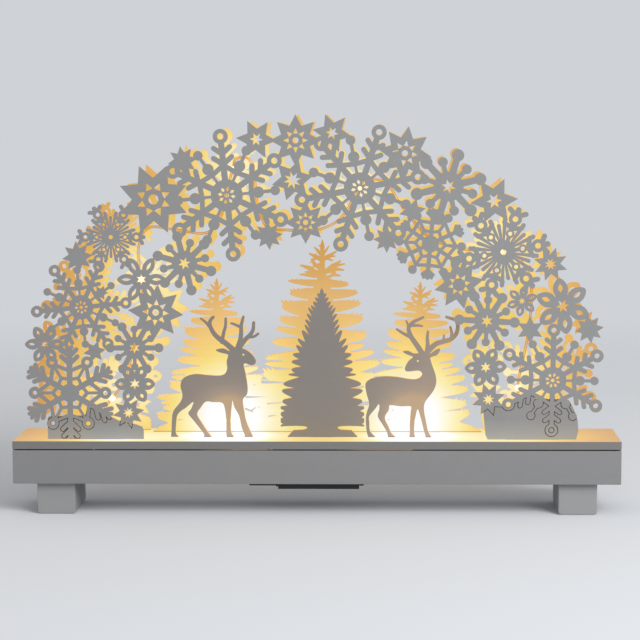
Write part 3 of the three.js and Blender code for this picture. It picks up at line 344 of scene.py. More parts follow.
# %% Colours of the glow
# Lamp light against the colour that the photograph shows at that nearness
ARCH_GLOW = [(0.0, 0xB68A54), (0.3, 0xD8A660), (0.5, 0xEAC06A), (0.7, 0xF5D67C), (0.9, 0xFAE69C),
             (1.2, 0xFDF4C4), (2.0, 0xFFFDF0)]
TREE_GLOW = [(0.15, 0xD0A266), (0.31, 0xDFB474), (0.4, 0xEBC37A), (0.48, 0xF4CD7E), (0.63, 0xF9DB83),
             (0.75, 0xFAE594), (0.9, 0xFCEEAE), (1.3, 0xFFF8DC), (1.8, 0xFFFFFF)]
LID_GLOW = [(0.0, 0x8B8B8C), (0.25, 0xA89888), (0.45, 0xC8A078), (0.75, 0xE4BA7C), (1.2, 0xF9DC92),
            (1.7, 0xFFF6CC), (2.0, 0xFFFFFF)]
WARM_GLOW = [(0.0, 0x88888A), (0.3, 0x989088), (0.8, 0xA8957C), (2.0, 0xBEA078)]
INNER_GLOW = [(0.0, 0x777574), (0.3, 0x877E76), (0.8, 0x98897C), (2.0, 0xB89C7C)]
GLOW_RANGE = 2.0
# The lit paint's own colour, the lamp light from which it is all that dark, and the studio's light on it
LIT_BASE = linear(0x6B5A45)
LIT_FROM = 0.25
STUDIO_LEVEL = 0.86


def blended(a, b, share):
    return tuple(x + (y - x) * share for x, y in zip(a, b))


def glow_colour(tree, light, stops, paint, under=LIT_BASE):
    """The glow that brings the paint, as the studio lights it, to the stops' colours."""
    fac = node(tree, "ShaderNodeMath", {"operation": "DIVIDE"}, {0: light, 1: GLOW_RANGE}).outputs[0]
    ramp = node(tree, "ShaderNodeValToRGB", inputs={"Fac": fac})
    elements = ramp.color_ramp.elements
    while len(elements) < len(stops):
        elements.new(0.5)
    for element, (amount, hex_value) in zip(elements, stops):
        seen = blended(paint, under, min(amount / LIT_FROM, 1))
        goals = linear(hex_value)[:3]
        element.position = amount / GLOW_RANGE
        element.color = [max(0.0, goal - own * STUDIO_LEVEL) for goal, own in zip(goals, seen)] + [1]
    return ramp.outputs["Color"]


print("stops of the arch's glow:", len(ARCH_GLOW))

# %% Lit paint
# The reach of a lamp's light, in millimetres
LAMP_REACH = 36
BACK_REACH = 22
INNER_REACH = 23
DEER_LAMPS = LAMP_NAMES[6:]
# The two right lamps of the arch also warm the right deer's antlers, as the photograph shows.
ANTLER_LAMPS = {"lamp_5": 2.4, "lamp_6": 2.2}
# The line of shade where a panel meets the lid: its height in millimetres, and how dark it is
FOOT_LINE = 1.0
FOOT_SHADE = 0.3


def lit_paint(name, colour, stops, reach, power, names=LAMP_NAMES, under=LIT_BASE, foot_line=True,
              longer=None):
    """Paint that glows by its nearness to the lamps, with a line of shade where the panel meets the lid."""
    material, tree = new_material(name)
    light = lamp_light(tree, reach, power, names, longer)
    tinted, relief = paint_texture(tree, (1, 1, 1))
    share = node(tree, "ShaderNodeMath", {"operation": "DIVIDE", "use_clamp": True},
                 {0: light, 1: LIT_FROM}).outputs[0]
    own = node(tree, "ShaderNodeMix", {"data_type": "RGBA"},
               {"Factor": share, "A": colour, "B": under}).outputs["Result"]
    grained = node(tree, "ShaderNodeVectorMath", {"operation": "MULTIPLY"}, {0: own, 1: tinted}).outputs[0]
    glow = node(tree, "ShaderNodeVectorMath", {"operation": "MULTIPLY"},
                {0: glow_colour(tree, light, stops, colour, under), 1: tinted}).outputs[0]
    if foot_line:
        glow = scaled_near_lid(tree, glow, FOOT_LINE, FOOT_SHADE)
    shader = node(tree, "ShaderNodeBsdfPrincipled",
                  inputs={"Base Color": grained, "Normal": relief, "Roughness": PAINT_ROUGHNESS,
                          "Specular IOR Level": 0.2, "Emission Color": glow, "Emission Strength": 1.0})
    node(tree, "ShaderNodeOutputMaterial", inputs={"Surface": shader.outputs[0]})
    return material


lit_arch = lit_paint("paint lit by the arch lamps", PANEL_GREY, ARCH_GLOW, LAMP_REACH, 2.4)
lit_trees = lit_paint("paint lit by the deer lamps", PANEL_GREY, TREE_GLOW, LAMP_REACH, 1.6, DEER_LAMPS)
lit_lid = lit_paint("base paint lit by the lamps", BASE_GREY, LID_GLOW, LAMP_REACH, 1.6, foot_line=False)
dim_back = lit_paint("panel backs in the lamps' light", PANEL_GREY, WARM_GLOW, BACK_REACH, 2.0,
                     under=PANEL_GREY)
inner_paint = lit_paint("shaded grey paint with light round its edges", INNER_SHADED_GREY, INNER_GLOW, INNER_REACH, 3.0,
                        under=INNER_SHADED_GREY, longer=ANTLER_LAMPS)
for paint in (lit_arch, lit_trees, lit_lid, dim_back, inner_paint):
    print("paint:", paint.name)

# %% [markdown]
# ## Cut edges
#
# A laser browns the edge that it cuts, and the three veneers of the plywood show as bands across its 3
# mm. The bands run across the panel's thickness, which is along Y here. Light from behind reaches the
# edges of the front panels, so they glow a little near the lamps.

# %% Browned plywood edges
EDGE_LIGHT = linear(0xA8825A)
EDGE_DARK = linear(0x5E4630)
EDGE_UNDER = linear(0x60472F)
# The veneers' thickness and the grit of the char, in millimetres
VENEER = 1.0
CHAR_GRIT = 0.8
FRONT_EDGE_GLOW = [(0.0, 0x6A5038), (0.3, 0x7C5A38), (0.8, 0xBE8846), (1.5, 0xE8B867)]
LIT_EDGE_GLOW = [(0.0, 0x8A6844), (0.3, 0xA9763F), (0.8, 0xE0A655), (1.5, 0xF8DC96)]


def cut_edge(name, stops):
    """Toasted birch edges with veneer bands 1 mm wide, and a painted glow that grows near the lamps."""
    material, tree = new_material(name)
    here = node(tree, "ShaderNodeTexCoord").outputs["Object"]
    depth = node(tree, "ShaderNodeSeparateXYZ", inputs={0: here}).outputs["Y"]
    bands = node(tree, "ShaderNodeMath", {"operation": "PINGPONG"}, {0: depth, 1: VENEER * MM}).outputs[0]
    share = node(tree, "ShaderNodeMath", {"operation": "DIVIDE"}, {0: bands, 1: VENEER * MM}).outputs[0]
    grit = node(tree, "ShaderNodeTexNoise",
                inputs={"Vector": here, "Scale": 1 / (CHAR_GRIT * MM), "Detail": 3.0}).outputs["Fac"]
    mixed = node(tree, "ShaderNodeMath", {"operation": "MULTIPLY"}, {0: share, 1: grit}).outputs[0]
    colour = node(tree, "ShaderNodeMix", {"data_type": "RGBA"},
                  {"Factor": mixed, "A": EDGE_LIGHT, "B": EDGE_DARK}).outputs["Result"]
    glow = glow_colour(tree, lamp_light(tree, LAMP_REACH, 2.0), stops, EDGE_UNDER, EDGE_UNDER)
    shader = node(tree, "ShaderNodeBsdfPrincipled",
                  inputs={"Base Color": colour, "Roughness": 0.8, "Specular IOR Level": 0.2,
                          "Emission Color": glow, "Emission Strength": 1.0})
    node(tree, "ShaderNodeOutputMaterial", inputs={"Surface": shader.outputs[0]})
    return material


front_edge = cut_edge("browned plywood edge", FRONT_EDGE_GLOW)
lit_edge = cut_edge("lit plywood edge", LIT_EDGE_GLOW)
print("edges:", front_edge.name, "and", lit_edge.name)

# %% [markdown]
# ## Flat drawings become panels
#
# A laser cuts a panel along the outline of everything that was drawn, so overlapping shapes melt into
# one. Booleans on hundreds of solids would be slow, so the drawing is joined flat: a Delaunay
# triangulation cuts all outlines into triangles and says which outlines hold each one. Triangles of wood
# get a front, a back and walls on their free edges. Windows cut only the flake that they belong to, so a
# neighbour's arm still crosses them.

# %% Outline helpers, in millimetres or in shares of a flake's reach
ARC_STEPS = 6


def polar(radius, degrees):
    angle = math.radians(degrees)
    return (radius * math.cos(angle), radius * math.sin(angle))


def turned(points, degrees):
    cosine, sine = math.cos(math.radians(degrees)), math.sin(math.radians(degrees))
    return [(x * cosine - y * sine, x * sine + y * cosine) for x, y in points]


def mirrored(points):
    return [(x, -y) for x, y in reversed(points)]


def on_circle(centre, radius, angle):
    """A point of a circle, at an angle in radians."""
    return (centre[0] + radius * math.cos(angle), centre[1] + radius * math.sin(angle))


def disc(centre, radius, sides=20):
    return [on_circle(centre, radius, math.tau * i / sides) for i in range(sides)]


def bar(start, end, width, end_width=None):
    """A bar with round ends, which may taper."""
    end_width = width if end_width is None else end_width
    along = math.atan2(end[1] - start[1], end[0] - start[0])
    ends = ((end, end_width / 2, along - math.pi / 2), (start, width / 2, along + math.pi / 2))
    return [on_circle(centre, radius, first + math.pi * step / ARC_STEPS)
            for centre, radius, first in ends for step in range(ARC_STEPS + 1)]


def star(tips, inner, reach=1.0, turn=0.0):
    """A star with its first tip along X."""
    points = []
    for i in range(tips):
        points.append(polar(reach, turn + 360 * i / tips))
        points.append(polar(inner, turn + 360 * (i + 0.5) / tips))
    return points


def petal(near, far, half_width, bluntness=1.0, steps=10):
    """An almond along X from near to far. Below 1, the bluntness rounds its ends."""
    upper = []
    for i in range(steps + 1):
        share = i / steps
        along = (1 - math.cos(math.pi * share)) / 2
        upper.append((near + (far - near) * along, half_width * math.sin(math.pi * along) ** bluntness))
    return mirrored(upper) + upper[1:-1]


def area(points):
    return sum(x0 * y1 - x1 * y0 for (x0, y0), (x1, y1) in zip(points, points[1:] + points[:1])) / 2


def counterclockwise(points):
    return points if area(points) > 0 else points[::-1]


print("petal area:", round(area(counterclockwise(petal(0.35, 1, 0.25))), 3))

# %% Cutting overlapping outlines into triangles
# Points nearer than WELD millimetres become one. An outline's filled area may be off by a share of LEAK.
WELD = 0.0005
LEAK = 0.1


def goes_round(outline, spot):
    """Whether an outline goes round a spot."""
    inside = False
    for (x0, y0), (x1, y1) in zip(outline, outline[1:] + outline[:1]):
        if (y0 > spot.y) != (y1 > spot.y) and spot.x < x0 + (x1 - x0) * (spot.y - y0) / (y1 - y0):
            inside = not inside
    return inside


def triangulated(outlines):
    """Cuts overlapping outlines into triangles, and lists the outlines that hold each triangle.

    Where edges lie almost on each other, the fill of an outline can leak out. Its area gives that away, and
    then each triangle is tested by its middle."""
    corners, rings = [], []
    for outline in outlines:
        first = len(corners)
        corners.extend(Vector(point) for point in counterclockwise(outline))
        rings.append(list(range(first, len(corners))))
    points, _, triangles, _, _, holders = delaunay_2d_cdt(corners, [], rings, 1, WELD, True)
    holders = [set(held) for held in holders]
    sizes = [abs((points[b] - points[a]).cross(points[c] - points[a])) / 2 for a, b, c in triangles]
    filled = [0.0] * len(outlines)
    for size, held in zip(sizes, holders):
        for i in held:
            filled[i] += size
    for i, outline in enumerate(outlines):
        whole = abs(area(outline))
        if abs(filled[i] - whole) > LEAK * whole:
            for triangle, held in zip(triangles, holders):
                held.discard(i)
                if goes_round(outline, sum((points[k] for k in triangle), Vector((0, 0))) / 3):
                    held.add(i)
    return points, triangles, holders


two_squares = [[(0, 0), (2, 0), (2, 2), (0, 2)], [(1, 1), (3, 1), (3, 3), (1, 3)]]
print("triangles of two overlapping squares:", len(triangulated(two_squares)[1]))

# %% Rings round the wood
# How far a point may lie off a straight line, in millimetres, and the shortest line that is one
STRAIGHT = 0.008
SHORTEST = 1e-9


def free_edges(triangles):
    """The edges, in their direction, that only one of the triangles has."""
    edges = {(a, b) for t in triangles for a, b in zip(t, t[1:] + t[:1])}
    return [(a, b) for a, b in edges if (b, a) not in edges]


def rings_of(edges):
    """Chains directed edges into rings that touch no point twice."""
    following = {}
    for a, b in edges:
        following.setdefault(a, []).append(b)
    rings = []
    while following:
        path = [next(iter(following))]
        places = {path[0]: 0}
        while path[-1] in following:
            step = following[path[-1]].pop()
            if not following[path[-1]]:
                del following[path[-1]]
            if step in places:
                rings.append(path[places[step]:])
                for point in path[places[step] + 1:]:
                    del places[point]
                del path[places[step] + 1:]
            else:
                places[step] = len(path)
                path.append(step)
    return rings


def straightened(points):
    """Leaves out points that lie on a straight line between their neighbours."""
    kept = []
    for i, (x, y) in enumerate(points):
        before_x, before_y = kept[-1] if kept else points[i - 1]
        after_x, after_y = points[(i + 1) % len(points)]
        chord = math.dist((before_x, before_y), (after_x, after_y))
        rise = abs((after_x - before_x) * (y - before_y) - (after_y - before_y) * (x - before_x))
        if chord < SHORTEST or rise / chord > STRAIGHT:
            kept.append((x, y))
    return kept


def listed(groups):
    """The outlines of all groups, and for each one its group and whether it is a window."""
    outlines, owners = [], []
    for number, (wood, windows) in enumerate(groups):
        outlines += wood + windows
        owners += [(number, False)] * len(wood) + [(number, True)] * len(windows)
    return outlines, owners


def is_wood(held, owners):
    """Whether a triangle in the held outlines is wood. Only a window of the same group undoes its wood."""
    wood = {owners[i][0] for i in held if not owners[i][1]}
    return bool(wood - {owners[i][0] for i in held if owners[i][1]})


def joined(groups):
    """Joins a drawing. Each group is (wood outlines, window outlines). Returns rings in millimetres."""
    outlines, owners = listed(groups)
    points, triangles, holders = triangulated(outlines)
    kept = [tuple(triangle) for triangle, held in zip(triangles, holders) if is_wood(held, owners)]
    rings = [[tuple(points[i]) for i in ring] for ring in rings_of(free_edges(kept))]
    return [ring for ring in map(straightened, rings) if len(ring) > 2]


print("rings of two overlapping squares:", len(joined([([square], []) for square in two_squares])))

# %% Putting a piece in place of its solid
def finished(name, mesh, body, cad_nodes):
    """Makes an object of a mesh, lets it ride on a body in place of CAD nodes, and prints its faces."""
    made = linked(name, mesh)
    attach(made, body)
    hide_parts(*cad_nodes)
    print(name, "faces:", len(mesh.polygons))


def islands(mesh):
    """How many pieces a mesh falls into."""
    parent = list(range(len(mesh.vertices)))

    def root(i):
        while parent[i] != i:
            parent[i] = parent[parent[i]]
            i = parent[i]
        return i

    for edge in mesh.edges:
        a, b = edge.vertices
        parent[root(a)] = root(b)
    return len({root(i) for i in range(len(parent))})


print("islands of the floor:", islands(floor_mesh))

# %% Walls, fronts and backs
PLY = 3
GROOVE_DEPTH = 0.35
FRONT, GROOVE, BACK = range(3)
# The places of the finishes in a panel's list of materials
FACE_PAINT, EDGE_PAINT, BACK_PAINT, LINE_PAINT = range(4)


def depths_of(rings, grooves):
    """Cuts the wood inside the rings into triangles, and says whether each lies in a groove."""
    points, triangles, holders = triangulated(rings + list(grooves))
    depths = {}
    for triangle, held in zip(triangles, holders):
        if sum(1 for i in held if i < len(rings)) % 2:
            depths[tuple(triangle)] = GROOVE if any(i >= len(rings) for i in held) else FRONT
    return points, depths


def panel(name, cad_node, rings, materials, grooves=()):
    """Stands a joined drawing up as a panel on the lid, in place of a CAD node and at its depth.

    The materials are those of the front, the edges, the back and the grooves, and grooves are outlines of
    shallow engraved lines."""
    points, depths = depths_of(rings, grooves)
    beside = {(a, b): depth for t, depth in depths.items() for a, b in zip(t, t[1:] + t[:1])}
    grooved = {i for t, depth in depths.items() if depth == GROOVE for i in t}
    front_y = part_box(cad_node)[0].y
    at = {FRONT: front_y, GROOVE: front_y + GROOVE_DEPTH * MM, BACK: front_y + PLY * MM}
    corners, numbers = [], {}

    def corner(i, depth):
        if (i, depth) not in numbers:
            numbers[i, depth] = len(corners)
            corners.append((points[i][0] * MM, at[depth], LID_TOP + points[i][1] * MM))
        return numbers[i, depth]

    faces, finishes = [], []
    for triangle, depth in depths.items():
        faces.append([corner(i, depth) for i in triangle])
        finishes.append(LINE_PAINT if depth == GROOVE else FACE_PAINT)
        faces.append([corner(i, BACK) for i in reversed(triangle)])
        finishes.append(BACK_PAINT)
        for a, b in zip(triangle, triangle[1:] + triangle[:1]):
            lower = beside.get((b, a), BACK)
            if lower <= depth:
                continue
            # A wall over the full depth takes in the groove's corners, so that no gap opens beside it.
            full = depth == FRONT and lower == BACK
            wall = [corner(b, depth), corner(a, depth)]
            wall += [corner(a, GROOVE)] if full and a in grooved else []
            wall += [corner(a, lower), corner(b, lower)]
            wall += [corner(b, GROOVE)] if full and b in grooved else []
            faces.append(wall)
            finishes.append(EDGE_PAINT)
    mesh = bpy.data.meshes.new(name)
    mesh.from_pydata(corners, [], faces)
    for material in materials:
        mesh.materials.append(material)
    mesh.polygons.foreach_set("material_index", finishes)
    mesh.update()
    finished(name, mesh, "root", [cad_node])
    print("  islands:", islands(mesh))


print("a panel is", PLY, "mm thick, its grooves", GROOVE_DEPTH, "mm deep")

# %% [markdown]
# ## Snowflakes from one arm
#
# A snowflake is one arm repeated round its middle. Each kind of flake is drawn once, for a reach of 1:
# the bars, discs and windows of one arm, and what lies in its middle. Geometry Nodes turn the arm round
# the middle as often as the kind asks, and set the whole flake down at every place where the arch has
# one, at its size and turn.

# %% Stars and petals
STAR_POINTS = 8
STAR_VALLEY = 0.6
# A window in a star's point starts just outside the ring, this far to each side
WINDOW_START = 1.1
WINDOW_SPREAD = 19
# The valleys of a star-shaped window, as a share of its reach
WINDOW_VALLEY = 0.45


def flake(arm, middle, windows=(), middle_windows=(), arms=6):
    """One kind of flake: the outlines and windows of an arm and of the middle, and the number of arms."""
    return {"arms": arms, "arm": arm, "windows": list(windows), "middle": middle,
            "middle_windows": list(middle_windows)}


def wheel_star(ring, hole, apex):
    """An eight-pointed star with a ring in the middle and a pointed window in each point."""
    near = ring * WINDOW_START
    window = [polar(near, -WINDOW_SPREAD), (apex, 0), polar(near, WINDOW_SPREAD), (ring, 0)]
    return flake([], [star(STAR_POINTS, STAR_VALLEY)], [window], [disc((0, 0), hole)], STAR_POINTS)


def window_star(tips, inner, window_tips, window_reach):
    """A star with a star-shaped window."""
    window = star(window_tips, window_reach * WINDOW_VALLEY, window_reach)
    return flake([], [star(tips, inner)], [], [window], tips)


def solid_star(tips, inner):
    return flake([], [star(tips, inner)], arms=tips)


def petal_flake(half_width, hole_at, hole_length, hole_width, star_reach, hub):
    """Six rounded petals with a long hole in each, round a star-shaped window."""
    hole = petal(hole_at - hole_length / 2, hole_at + hole_length / 2, hole_width / 2)
    window = star(6, star_reach * WINDOW_VALLEY, star_reach, 30)
    return flake([petal(0.2, 1.0, half_width, 0.62)], [disc((0, 0), hub)], [hole], [window])


print("windows in a wheel star's points:", len(wheel_star(0.26, 0.12, 0.48)["windows"]))

# %% Flakes with rings, balls and suns
def both_sides(outlines):
    """The outlines and their mirror images across the arm."""
    return outlines + [mirrored(outline) for outline in outlines]


def between_arms(outlines):
    """The outlines turned to the middle between two of six arms."""
    return [turned(outline, 30) for outline in outlines]


DIAMOND = [(0.066, 0), (0.115, -0.03), (0.155, 0), (0.115, 0.03)]

ring_flake = flake(
    arm=[
        bar((0.2, 0), (0.9, 0), 0.105),
        disc((1.01, 0), 0.13),
        *both_sides([bar((0.53, 0), (0.65, 0.155), 0.09), bar((0.71, 0), (0.82, 0.138), 0.09)]),
        *both_sides([bar((0.515, 0), polar(0.43, 24), 0.085)]),
        *between_arms([
            bar((0.2, 0), (0.45, 0), 0.05),
            disc((0.545, 0), 0.098),
            bar((0.42, 0), (0.56, 0), 0.11),
            bar((0.6, 0), (0.82, 0), 0.062),
            disc((0.835, 0), 0.084),
        ]),
    ],
    windows=[disc((1.01, 0), 0.055, 14)],
    middle=[disc((0, 0), 0.275, 30)],
    middle_windows=[disc((0, 0), 0.038, 12)] + [turned(DIAMOND, 45 * i) for i in range(8)],
)

ball_flake = flake(
    arm=[
        bar((0.3, 0), (0.95, 0), 0.23, 0.2),
        disc((1.0, 0), 0.19),
        *between_arms([bar((0.3, 0), (0.72, 0), 0.16, 0.14), disc((0.77, 0), 0.15)]),
    ],
    middle=[disc((0, 0), 0.46, 36)],
    middle_windows=[star(6, 0.1, 0.235, 30)],
)

sun_flake = flake(
    arm=[
        bar((0.2, 0), (0.5, 0), 0.08, 0.11),
        bar((0.5, 0), (0.94, 0), 0.12),
        disc((0.41, 0), 0.092),
        disc((0.735, 0), 0.14),
        disc((0.575, 0), 0.095),
        *both_sides([bar((0.52, 0), polar(0.63, 18), 0.095), bar((0.8, 0), polar(0.92, 11), 0.11)]),
        *between_arms([bar((0.2, 0), (0.56, 0), 0.045, 0.085),
                       *both_sides([bar(polar(0.2, 10), polar(0.7, 13), 0.045, 0.095)])]),
    ],
    windows=[disc((0.41, 0), 0.046, 10), disc((0.735, 0), 0.062, 12)],
    middle=[disc((0, 0), 0.255, 30)],
    middle_windows=[disc((0, 0), 0.062, 12)],
)
print("outlines of a ring flake's arm:", len(ring_flake["arm"]))

# %% Flakes like ferns and branches, and all kinds by name
fern_flake = flake(
    arm=[
        bar((0.15, 0), (0.96, 0), 0.118),
        *both_sides([
            bar((0.33, 0), polar(0.43, 30), 0.09),
            bar((0.6, 0), polar(0.72, 30), 0.098),
            bar((0.75, 0), (0.87, 0.15), 0.1),
            bar((0.86, 0), (0.95, 0.11), 0.1),
        ]),
        *between_arms([bar((0.4, 0), (0.88, 0), 0.09), disc((0.88, 0), 0.125)]),
    ],
    middle=[disc((0, 0), 0.24, 24)],
)

branch_flake = flake(
    arm=[
        bar((0.1, 0), (0.92, 0), 0.125),
        *both_sides([
            bar((0.29, 0), polar(0.37, 30), 0.075),
            bar((0.47, 0), polar(0.68, 28), 0.085),
            bar((0.62, 0), (0.78, 0.17), 0.1),
            bar((0.78, 0), (0.93, 0.15), 0.1),
            bar((0.91, 0), (0.985, 0.05), 0.085),
        ]),
        *between_arms([bar((0.34, 0), (0.7, 0), 0.065), disc((0.757, 0), 0.13)]),
    ],
    windows=between_arms([disc((0.757, 0), 0.05, 12)]),
    middle=[disc((0, 0), 0.2, 24)],
)

FLAKE_KINDS = {
    "great_wheel": wheel_star(0.283, 0.142, 0.49),
    "wheel_star": wheel_star(0.26, 0.12, 0.48),
    "disc_star": {**wheel_star(0.25, 0.1, 0.45), "middle_windows": []},
    "open_star": window_star(8, 0.56, 8, 0.36),
    "six_star": window_star(6, 0.52, 6, 0.33),
    "gear_star": window_star(6, 0.56, 8, 0.43),
    "solid_star": solid_star(8, 0.58),
    "small_star": solid_star(6, 0.52),
    "ring_flake": ring_flake,
    "ball_flake": ball_flake,
    "sun_flake": sun_flake,
    "fern_flake": fern_flake,
    "branch_flake": branch_flake,
    "petal_flake": petal_flake(0.265, 0.64, 0.32, 0.17, 0.25, 0.42),
    "slim_petals": petal_flake(0.23, 0.62, 0.38, 0.12, 0.23, 0.4),
    "round_petals": petal_flake(0.27, 0.66, 0.34, 0.15, 0.23, 0.4),
    "diamond_petals": petal_flake(0.3, 0.68, 0.26, 0.17, 0.27, 0.44),
}
print("kinds of flake:", len(FLAKE_KINDS))

# %% Where every flake lies: kind, x, height above the lid, reach and turn, in millimetres and degrees
FLAKES = [
    ("round_petals", -201.1, 71.1, 14.8, 0),
    ("branch_flake", -182.8, 34.7, 35, 30),
    ("solid_star", -175.4, 136.1, 11.5, 7),
    ("ring_flake", -173.3, 98.7, 33.1, 5.5),
    ("small_star", -163.9, 65.8, 8.5, 10),
    ("small_star", -158.8, 109.5, 6, 0),
    ("sun_flake", -150.4, 150.7, 25.8, 0),
    ("open_star", -139.3, 19.8, 12, 10),
    ("diamond_petals", -134.3, 41.4, 15.2, 0),
    ("ball_flake", -134.1, 68.4, 18.1, 0),
    ("slim_petals", -128.3, 119.3, 18.1, 0),
    ("great_wheel", -118.5, 178.3, 26.5, 23),
    ("wheel_star", -118, 94.8, 20.7, -5),
    ("solid_star", -96.6, 206.4, 11, 10),
    ("ball_flake", -96.2, 131.1, 20.4, -16),
    ("ring_flake", -64.4, 181.1, 42.9, 35.7),
    ("six_star", -42.3, 222, 15, -4),
    ("solid_star", -34, 151.5, 10.6, 5),
    ("gear_star", -16, 192, 15.4, 12),
    ("wheel_star", -13.6, 221.1, 19, 0),
    ("wheel_star", -6.6, 161.1, 15.8, 0),
    ("six_star", 13.1, 226.3, 14.6, -10),
    ("ring_flake", 33.3, 185.9, 42.8, 10.8),
    ("solid_star", 52.9, 148.5, 10, 0),
    ("wheel_star", 66.3, 211.3, 19.7, -8.5),
    ("small_star", 71.8, 169, 10, 12),
    ("fern_flake", 84.9, 145, 26, 25),
    ("ball_flake", 98.1, 187, 23.7, 13),
    ("disc_star", 106, 115, 18.4, 12),
    ("diamond_petals", 125.7, 53.8, 15.5, 3),
    ("ball_flake", 126.5, 88.1, 20.3, -3),
    ("open_star", 127.8, 29.8, 12.6, 18),
    ("six_star", 131.4, 176.4, 17.5, 5),
    ("sun_flake", 138.4, 138.9, 34.8, 10.5),
    ("round_petals", 152.1, 102.9, 11.5, 20),
    ("small_star", 158.2, 81.5, 10.2, 30),
    ("open_star", 172.8, 129.9, 12.7, -18),
    ("ring_flake", 175, 44.1, 36.8, 29),
    ("petal_flake", 182, 99.1, 20.8, -22),
    ("solid_star", 201.6, 81.9, 10.5, 8),
]
print("flakes on an arch:", len(FLAKES))

# %% [markdown]
# ## The node tree that turns and sets down flakes
#
# The tree takes the flat outlines of one arm, each a face that says whether it is a window and whether it
# belongs to the middle. It instances the arm on a ring of points, joins the middle, and instances that on
# the arch's places, which carry their reach and turn. Realize Instances at its end makes real faces,
# which the flat join then reads.

# %% Geometry nodes: an arm becomes flakes
def new_tree(name, **inputs):
    """A node tree and its input node, for a geometry, a paint and more inputs with their kinds of socket."""
    tree = bpy.data.node_groups.new(name, "GeometryNodeTree")
    for label, kind in {"Geometry": "Geometry", **inputs, "Paint": "Material"}.items():
        tree.interface.new_socket(label, in_out="INPUT", socket_type="NodeSocket" + kind)
    tree.interface.new_socket("Geometry", in_out="OUTPUT", socket_type="NodeSocketGeometry")
    return tree, node(tree, "NodeGroupInput")


def end_tree(tree, given, geometry):
    """Ends a tree: instances become real, and all of it gets the paint that was given."""
    real = node(tree, "GeometryNodeRealizeInstances", inputs={0: geometry})
    painted = node(tree, "GeometryNodeSetMaterial",
                   inputs={"Geometry": real.outputs[0], "Material": given.outputs["Paint"]})
    node(tree, "NodeGroupOutput", inputs={"Geometry": painted.outputs[0]})


def flake_tree():
    tree, given = new_tree("arm to flakes", Arms="Int", Places="Object")
    middle = node(tree, "GeometryNodeInputNamedAttribute", {"data_type": "INT"}, {"Name": "middle"})
    parts = node(tree, "GeometryNodeSeparateGeometry", {"domain": "FACE"},
                 {"Geometry": given.outputs["Geometry"], "Selection": middle.outputs["Attribute"]})
    ring = node(tree, "GeometryNodePoints", inputs={"Count": given.outputs["Arms"]})
    step = node(tree, "ShaderNodeMath", {"operation": "DIVIDE"}, {0: math.tau, 1: given.outputs["Arms"]})
    angle = node(tree, "ShaderNodeMath", {"operation": "MULTIPLY"},
                 {0: step.outputs[0], 1: node(tree, "GeometryNodeInputIndex").outputs[0]})
    arm_turn = node(tree, "ShaderNodeCombineXYZ", inputs={"Z": angle.outputs[0]})
    arms = node(tree, "GeometryNodeInstanceOnPoints",
                inputs={"Points": ring.outputs[0], "Instance": parts.outputs["Inverted"],
                        "Rotation": arm_turn.outputs[0]})
    both = node(tree, "GeometryNodeJoinGeometry")
    tree.links.new(arms.outputs[0], both.inputs[0])
    tree.links.new(parts.outputs["Selection"], both.inputs[0])
    whole = node(tree, "GeometryNodeGeometryToInstance", inputs={0: both.outputs[0]})
    places = node(tree, "GeometryNodeObjectInfo", {"transform_space": "ORIGINAL"},
                  {"Object": given.outputs["Places"]})
    turn = node(tree, "GeometryNodeInputNamedAttribute", {"data_type": "FLOAT"}, {"Name": "turn"})
    reach = node(tree, "GeometryNodeInputNamedAttribute", {"data_type": "FLOAT"}, {"Name": "reach"})
    flake_turn = node(tree, "ShaderNodeCombineXYZ", inputs={"Z": turn.outputs["Attribute"]})
    flakes = node(tree, "GeometryNodeInstanceOnPoints",
                  inputs={"Points": places.outputs["Geometry"], "Instance": whole.outputs[0],
                          "Rotation": flake_turn.outputs[0], "Scale": reach.outputs["Attribute"]})
    end_tree(tree, given, flakes.outputs[0])
    return tree


FLAKE_TREE = flake_tree()
print("nodes in the flake tree:", len(FLAKE_TREE.nodes))

# %% Running a node tree on a mesh
def set_inputs(modifier, values):
    """Sets a modifier's inputs by the identifier of the socket with each name."""
    for socket in modifier.node_group.interface.items_tree:
        if socket.in_out == "INPUT" and socket.name in values:
            modifier[socket.identifier] = values[socket.name]


def evaluated(thing):
    """A plain mesh of an object with its modifiers applied."""
    graph = bpy.context.evaluated_depsgraph_get()
    graph.update()
    return bpy.data.meshes.new_from_object(thing.evaluated_get(graph))


def made_by(name, mesh, tree, values):
    """Runs a node tree on a mesh and returns the result as a plain mesh."""
    start = linked(name + "_start", mesh)
    modifier = start.modifiers.new(name, "NODES")
    modifier.node_group = tree
    set_inputs(modifier, values)
    made = evaluated(start)
    made.name = name
    bpy.data.objects.remove(start)
    return made


def places_of(name, spots):
    """An object whose points are the places of copies."""
    mesh = bpy.data.meshes.new(name + "_places")
    mesh.from_pydata([tuple(spot) for spot in spots], [], [])
    return linked(name + "_places", mesh)


print("inputs of the flake tree:", [s.name for s in FLAKE_TREE.interface.items_tree if s.in_out == "INPUT"])

# %% Reading the flakes back as outlines
def flat_mesh(name, outlines):
    corners, faces = [], []
    for outline in outlines:
        faces.append(list(range(len(corners), len(corners) + len(outline))))
        corners += [(x, y, 0.0) for x, y in counterclockwise(outline)]
    mesh = bpy.data.meshes.new(name)
    mesh.from_pydata(corners, [], faces)
    return mesh


def attribute(mesh, name, kind, domain, values):
    """Adds an attribute and fills it."""
    mesh.attributes.new(name, kind, domain).data.foreach_set("value", values)


